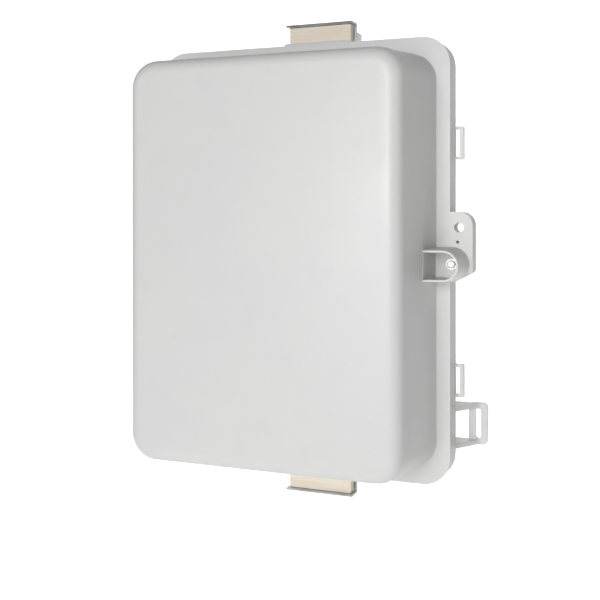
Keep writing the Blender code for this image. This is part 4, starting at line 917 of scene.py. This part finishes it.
dress("surge_module", "black", 0.6 * mm, 3)
dress("surge_terminal", "terminal", 0.3 * mm)
surge = {"ribs": 7, "ribPitch": 1.7, "ribThick": 0.8, "screws": 4}


def surgeFace(bm):
    low, high = spanOf("surge_module")
    front = low[1]
    addBox(bm, (low[0] + 4, front - 0.6, low[2] + 16), (high[0] - 4, front + 0.2, high[2] - 6), 0.4)
    for k in range(surge["ribs"]):
        z = low[2] + 3.5 + surge["ribPitch"] * k
        addBox(bm, (low[0] + 5, front - 0.5, z), (high[0] - 5, front + 0.2, z + surge["ribThick"]), 0.2)


def terminalScrews(bm):
    low, high = spanOf("surge_terminal")
    face = -low[1] - 3.0
    for k in range(surge["screws"]):
        x = low[0] + (high[0] - low[0]) * (k + 0.5) / surge["screws"]
        addTurned(bm, "Y", (x, 0, (low[2] + high[2]) / 2),
                  [(0, face - 0.2), (1.95, face), (1.95, face + 1.0), (1.6, face + 1.4), (0.4, face + 1.4),
                   (0.35, face + 0.9), (0, face + 0.9)], 20)


makePiece("surge_face", "surge_module", "black", surgeFace)
makePiece("terminal_screws", "surge_terminal", "steel", terminalScrews)

def knurledCap(bm):
    x, y, _ = middleOf("port_cap")
    (_, _, low), (right, _, high) = spanOf("port_cap")
    r, bore = right - x, 9.4
    addTurned(bm, "Z", (x, y, 0),
              [(0, low + 0.5), (6.4, low + 0.5), (6.8, low), (r - 1.6, low), (r - 0.5, low + 0.4), (r, low + 1.1, 0.45),
               (r, high - 0.9, 0.45), (r - 0.5, high), (bore, high), (bore, low + 1.7), (0, low + 1.7)], 72)


dress("ethernet_port", "black", 0.4 * mm)
dress("port_gasket", "rubber", 0.3 * mm)
dress("port_nut", "black", 0.5 * mm)
dress("port_cap_seal", "rubber", 0.2 * mm)
dress("vent_plug", "black", 0.4 * mm)
makePiece("port_cap_made", "port_cap", "black", knurledCap, stands=["port_cap"])


ventCap = {"ribs": 12, "radius": 8.7, "rib": 0.6}


def ventRibs(bm):
    low = spanOf("vent_plug")[0][2]
    x, y, _ = middleOf("vent_plug")
    for k in range(ventCap["ribs"]):
        angle = 2 * math.pi * k / ventCap["ribs"]
        a, b = x + ventCap["radius"] * math.cos(angle), y + ventCap["radius"] * math.sin(angle)
        addTurned(bm, "Z", (a, b, 0), [(0, low + 0.6), (ventCap["rib"], low + 0.7), (ventCap["rib"], low + 3.7),
                                       (0, low + 3.8)], 10)


makePiece("vent_ribs", "vent_plug", "black", ventRibs)

# corner radius of an M6 nut and of the worm's head; a thread's own radius and pitch
hexagon = {"nut": 5.77, "worm": 4.6, "chamfer": 0.75, "thread": (3.12, 1.0)}


def hexTrim(piece, axis, centre, corner, low, high, ends):
    # a hexagon's corners taken off by a cone at its outer ends
    flat, rim, clear = corner * 0.866 - 0.1, corner + 0.05, corner + 2  # 0.866 is the cosine of 30 degrees
    outline = [(0, low - 1)]
    outline += [(flat, low - 0.001), (rim, low + hexagon["chamfer"])] if "low" in ends else [(clear, low - 1)]
    outline += [(rim, high - hexagon["chamfer"]), (flat, high + 0.001)] if "high" in ends else [(clear, high + 1)]
    outline.append((0, high + 1))
    carve(piece, cutterFrom(lambda bm: addTurned(bm, axis, centre, outline, 48)), "INTERSECT")


x, y, _ = middleOf("ground_nut")
low, high = (edge[2] for edge in spanOf("ground_nut"))
hexTrim(dress("ground_nut", "brass", 0.12 * mm), "Z", (x, y, 0), hexagon["nut"], low, high, "low high")
dress("ground_stud", "brass", 0.2 * mm)
makePiece("ground_thread", "ground_stud", "brass", lambda bm: addThread(
    bm, "Z", (x, y, 0), *hexagon["thread"], spanOf("ground_stud")[0][2], low + 4.6))
print("fittings done")


# pole brackets

pole = 30.15
strap = {"half": 6.35, "slotHalf": 3.3, "slotFrom": 22, "slotTo": 158, "steps": 40, "skew": 0.035,
         "thickness": 0.9 * mm, "tailFrom": 104, "tailTurn": 40, "tailSteps": 14, "tailHalf": 6.2}


def bandStrip(bm, z, front):
    # a stainless band round the back of the pole, its middle perforated for the worm
    inner = pole + 0.3
    levels = (-strap["half"], -strap["slotHalf"], strap["slotHalf"], strap["half"])

    def at(t, level):
        slanted = abs(level) < strap["half"] and 0 < t < math.pi
        t += strap["skew"] * level / strap["slotHalf"] if slanted else 0.0
        return Vector((inner * math.cos(t), inner * math.sin(t), z + level)) * mm
    start, end, count = math.radians(strap["slotFrom"]), math.radians(strap["slotTo"]), strap["steps"]
    angles = [0.0, math.radians(strap["slotFrom"] / 2)]
    angles += [start + (end - start) * k / count for k in range(count + 1)]
    angles += [math.radians(strap["slotTo"] + strap["slotFrom"] / 2), math.pi]
    columns = [[bm.verts.new(at(t, level)) for level in levels] for t in angles]
    legs = [[bm.verts.new(Vector((side * inner, front, z + level)) * mm) for level in levels] for side in (1, -1)]
    columns = [legs[0]] + columns + [legs[1]]
    slotted = range(3, 3 + count)  # after the leg, the pole's side and half the plain part
    for number, (a, b) in enumerate(zip(columns, columns[1:])):
        for row in range(3):
            if not (row == 1 and number in slotted and number % 2):
                bm.faces.new((a[row], a[row + 1], b[row + 1], b[row]))
    a, b = columns[-1], columns[0]
    for row in range(3):
        bm.faces.new((a[row], a[row + 1], b[row + 1], b[row]))
    bmesh.ops.recalc_face_normals(bm, faces=bm.faces)


def bandTail(bm, z):
    # the band's free end, laid over itself beyond the housing
    steps = strap["tailSteps"]
    for k in range(steps):
        turn = [math.radians(strap["tailFrom"] + strap["tailTurn"] * (k + d) / steps) for d in (0, 1)]
        corners = [bm.verts.new(Vector((r * math.cos(t), r * math.sin(t), z + level)) * mm)
                   for level in (-strap["tailHalf"], strap["tailHalf"])
                   for r in (pole + 1.35, pole + 2.1) for t in turn]
        a, b, c, d, e, f, g, h = corners
        quads = [(a, b, f, e), (c, g, h, d), (a, c, d, b), (e, f, h, g)]
        quads += [(a, e, g, c)] if k == 0 else []
        quads += [(b, d, h, f)] if k == steps - 1 else []
        for quad in quads:
            bm.faces.new(quad)
    bmesh.ops.remove_doubles(bm, verts=bm.verts, dist=0.01 * mm)
    bmesh.ops.recalc_face_normals(bm, faces=bm.faces)


def saddle(bm, z):
    # the sheet cradle that ties the housing to the band
    top, half = pole + 1.6, 7.6
    addBox(bm, (-12.5, top, z - half), (12.5, top + 0.75, z + half), 0.2)
    for side in (-1, 1):
        ends = sorted((z + side * 6.65, z + side * half))
        addBox(bm, (-9.5, top - 1.6, ends[0]), (9.5, top + 0.6, ends[1]), 0.2)


for level in ("upper", "lower"):
    dress("pole_bracket_" + level, "zinc", 0.55 * mm, 3)
    dress("spacer_block_" + level, "cream", 0.5 * mm)
    band = "clamp_band_" + level
    z = middleOf(band)[2]
    front = spanOf(band)[0][1] + 1.0
    strip = makePiece(band + "_made", band, "band", lambda bm: bandStrip(bm, z, front), stands=[band])
    sheet = strip.modifiers.new("sheet", "SOLIDIFY")
    sheet.thickness = strap["thickness"]
    sheet.offset = 1.0
    makePiece("band_tail_" + level, band, "band", lambda bm: bandTail(bm, z), 0.15 * mm)
    makePiece("band_saddle_" + level, "band_housing_" + level, "band", lambda bm: saddle(bm, z))
    dress("band_housing_" + level, "band", 0.6 * mm, 3)
    worm = "band_screw_" + level
    _, y, z = middleOf(worm)
    low, high = (edge[0] for edge in spanOf(worm))
    hexTrim(dress(worm, "steel", 0.2 * mm), "X", (0, y, z), hexagon["worm"], low, high, "high")
    makePiece(worm + "_worm", worm, "steel", lambda bm: addThread(bm, "X", (0, y, z), 3.5, 1.9, low + 1.2, high - 5.8))
    for hand in ("left", "right"):
        bolt, nut = "bracket_bolt_%s_%s" % (level, hand), "bracket_nut_%s_%s" % (level, hand)
        x, _, z = middleOf(bolt)
        head, tail = (-edge[1] for edge in spanOf(bolt))
        hexTrim(dress(bolt, "zinc", 0.15 * mm), "Y", (x, 0, z), hexagon["nut"], tail, head, "high")
        makePiece(bolt + "_thread", bolt, "zinc", lambda bm: addThread(
            bm, "Y", (x, 0, z), *hexagon["thread"], tail, tail + 7.2))
        front, back = (-edge[1] for edge in spanOf(nut))
        hexTrim(dress(nut, "zinc", 0.12 * mm), "Y", (x, 0, z), hexagon["nut"], back, front, "low high")
print("brackets done")


# studio

studio = {"floor": -0.62, "wide": 9.0, "front": -3.5, "deep": 3.4, "bend": 1.6, "steps": 16, "rise": 5.0,
          "tone": (0.93, 0.93, 0.93), "fade": 0.985, "glow": 0.28, "air": 0.10}
lights = {  # place, aim, size and power
    "key": ((0.12, -2.5, 0.30), (0, -0.1, 0), (1.0, 1.0), 36),
    "edge": ((1.9, -0.75, 0.1), (0.1, -0.15, 0), (0.12, 1.6), 2.0),
    "top": ((0.1, 0.1, 2.1), (0, 0, 0), (1.8, 1.8), 3),
    "back": ((-1.3, 1.0, 1.5), (-1.3, 2.9, -0.1), (3.0, 1.2), 74),
}


def makeStudio():
    # a sheet of paper that lies on the floor and bends up behind
    bm = bmesh.new()
    half, floor, bend = studio["wide"] / 2, studio["floor"], studio["bend"]
    back = studio["deep"] - bend
    outline = [(studio["front"], floor)]
    outline += [(back + bend * math.sin(t), floor + bend * (1 - math.cos(t)))
                for t in (math.pi / 2 * i / studio["steps"] for i in range(studio["steps"] + 1))]
    outline.append((back + bend, floor + studio["rise"]))
    left, right = [[bm.verts.new((x, y, z)) for y, z in outline] for x in (-half, half)]
    for i in range(len(outline) - 1):
        bm.faces.new((left[i], right[i], right[i + 1], left[i + 1]))
    sweep = objectFrom(bm, "studio_sweep", 60)
    f = Finish("studio_paper", Roughness=0.9, Emission_Strength=studio["glow"])
    tone = f.blendTones(f.noise(1.2), studio["tone"], tuple(c * studio["fade"] for c in studio["tone"]))
    f.apply(Base_Color=tone, Emission_Color=tone)
    sweep.data.materials.append(f.material)


def makeLight(name, place, aim, size, power):
    lamp = bpy.data.lights.new(name, "AREA")
    lamp.shape = "RECTANGLE"
    lamp.size, lamp.size_y = size
    lamp.energy = power
    holder = bpy.data.objects.new(name, lamp)
    holder.location = place
    holder.rotation_euler = (Vector(aim) - Vector(place)).to_track_quat("-Z", "Y").to_euler()
    bpy.context.scene.collection.objects.link(holder)


def makeAir():
    world = bpy.data.worlds.new("studio_air")
    world.use_nodes = True
    air = world.node_tree.nodes["Background"].inputs
    air["Color"].default_value = (1, 1, 1, 1)
    air["Strength"].default_value = studio["air"]
    bpy.context.scene.world = world


# the camera stands to the right of the lid, level, a little above its middle
viewpoint = {"place": (0.355, -0.99835, 0.047), "yaw": 21.65, "lens": 56.4, "shift": -0.147}


def makeCamera():
    camera = bpy.data.cameras.new("camera")
    camera.lens = viewpoint["lens"]
    camera.sensor_width = 36.0
    camera.shift_y = viewpoint["shift"]
    holder = bpy.data.objects.new("camera", camera)
    holder.location = viewpoint["place"]
    holder.rotation_euler = (math.radians(90), 0, math.radians(viewpoint["yaw"]))
    bpy.context.scene.collection.objects.link(holder)
    bpy.context.scene.camera = holder


makeStudio()
for name, (place, aim, size, power) in lights.items():
    makeLight(name, place, aim, size, power)
makeAir()
makeCamera()
bpy.context.scene.view_settings.view_transform = "Standard"
print("studio done")
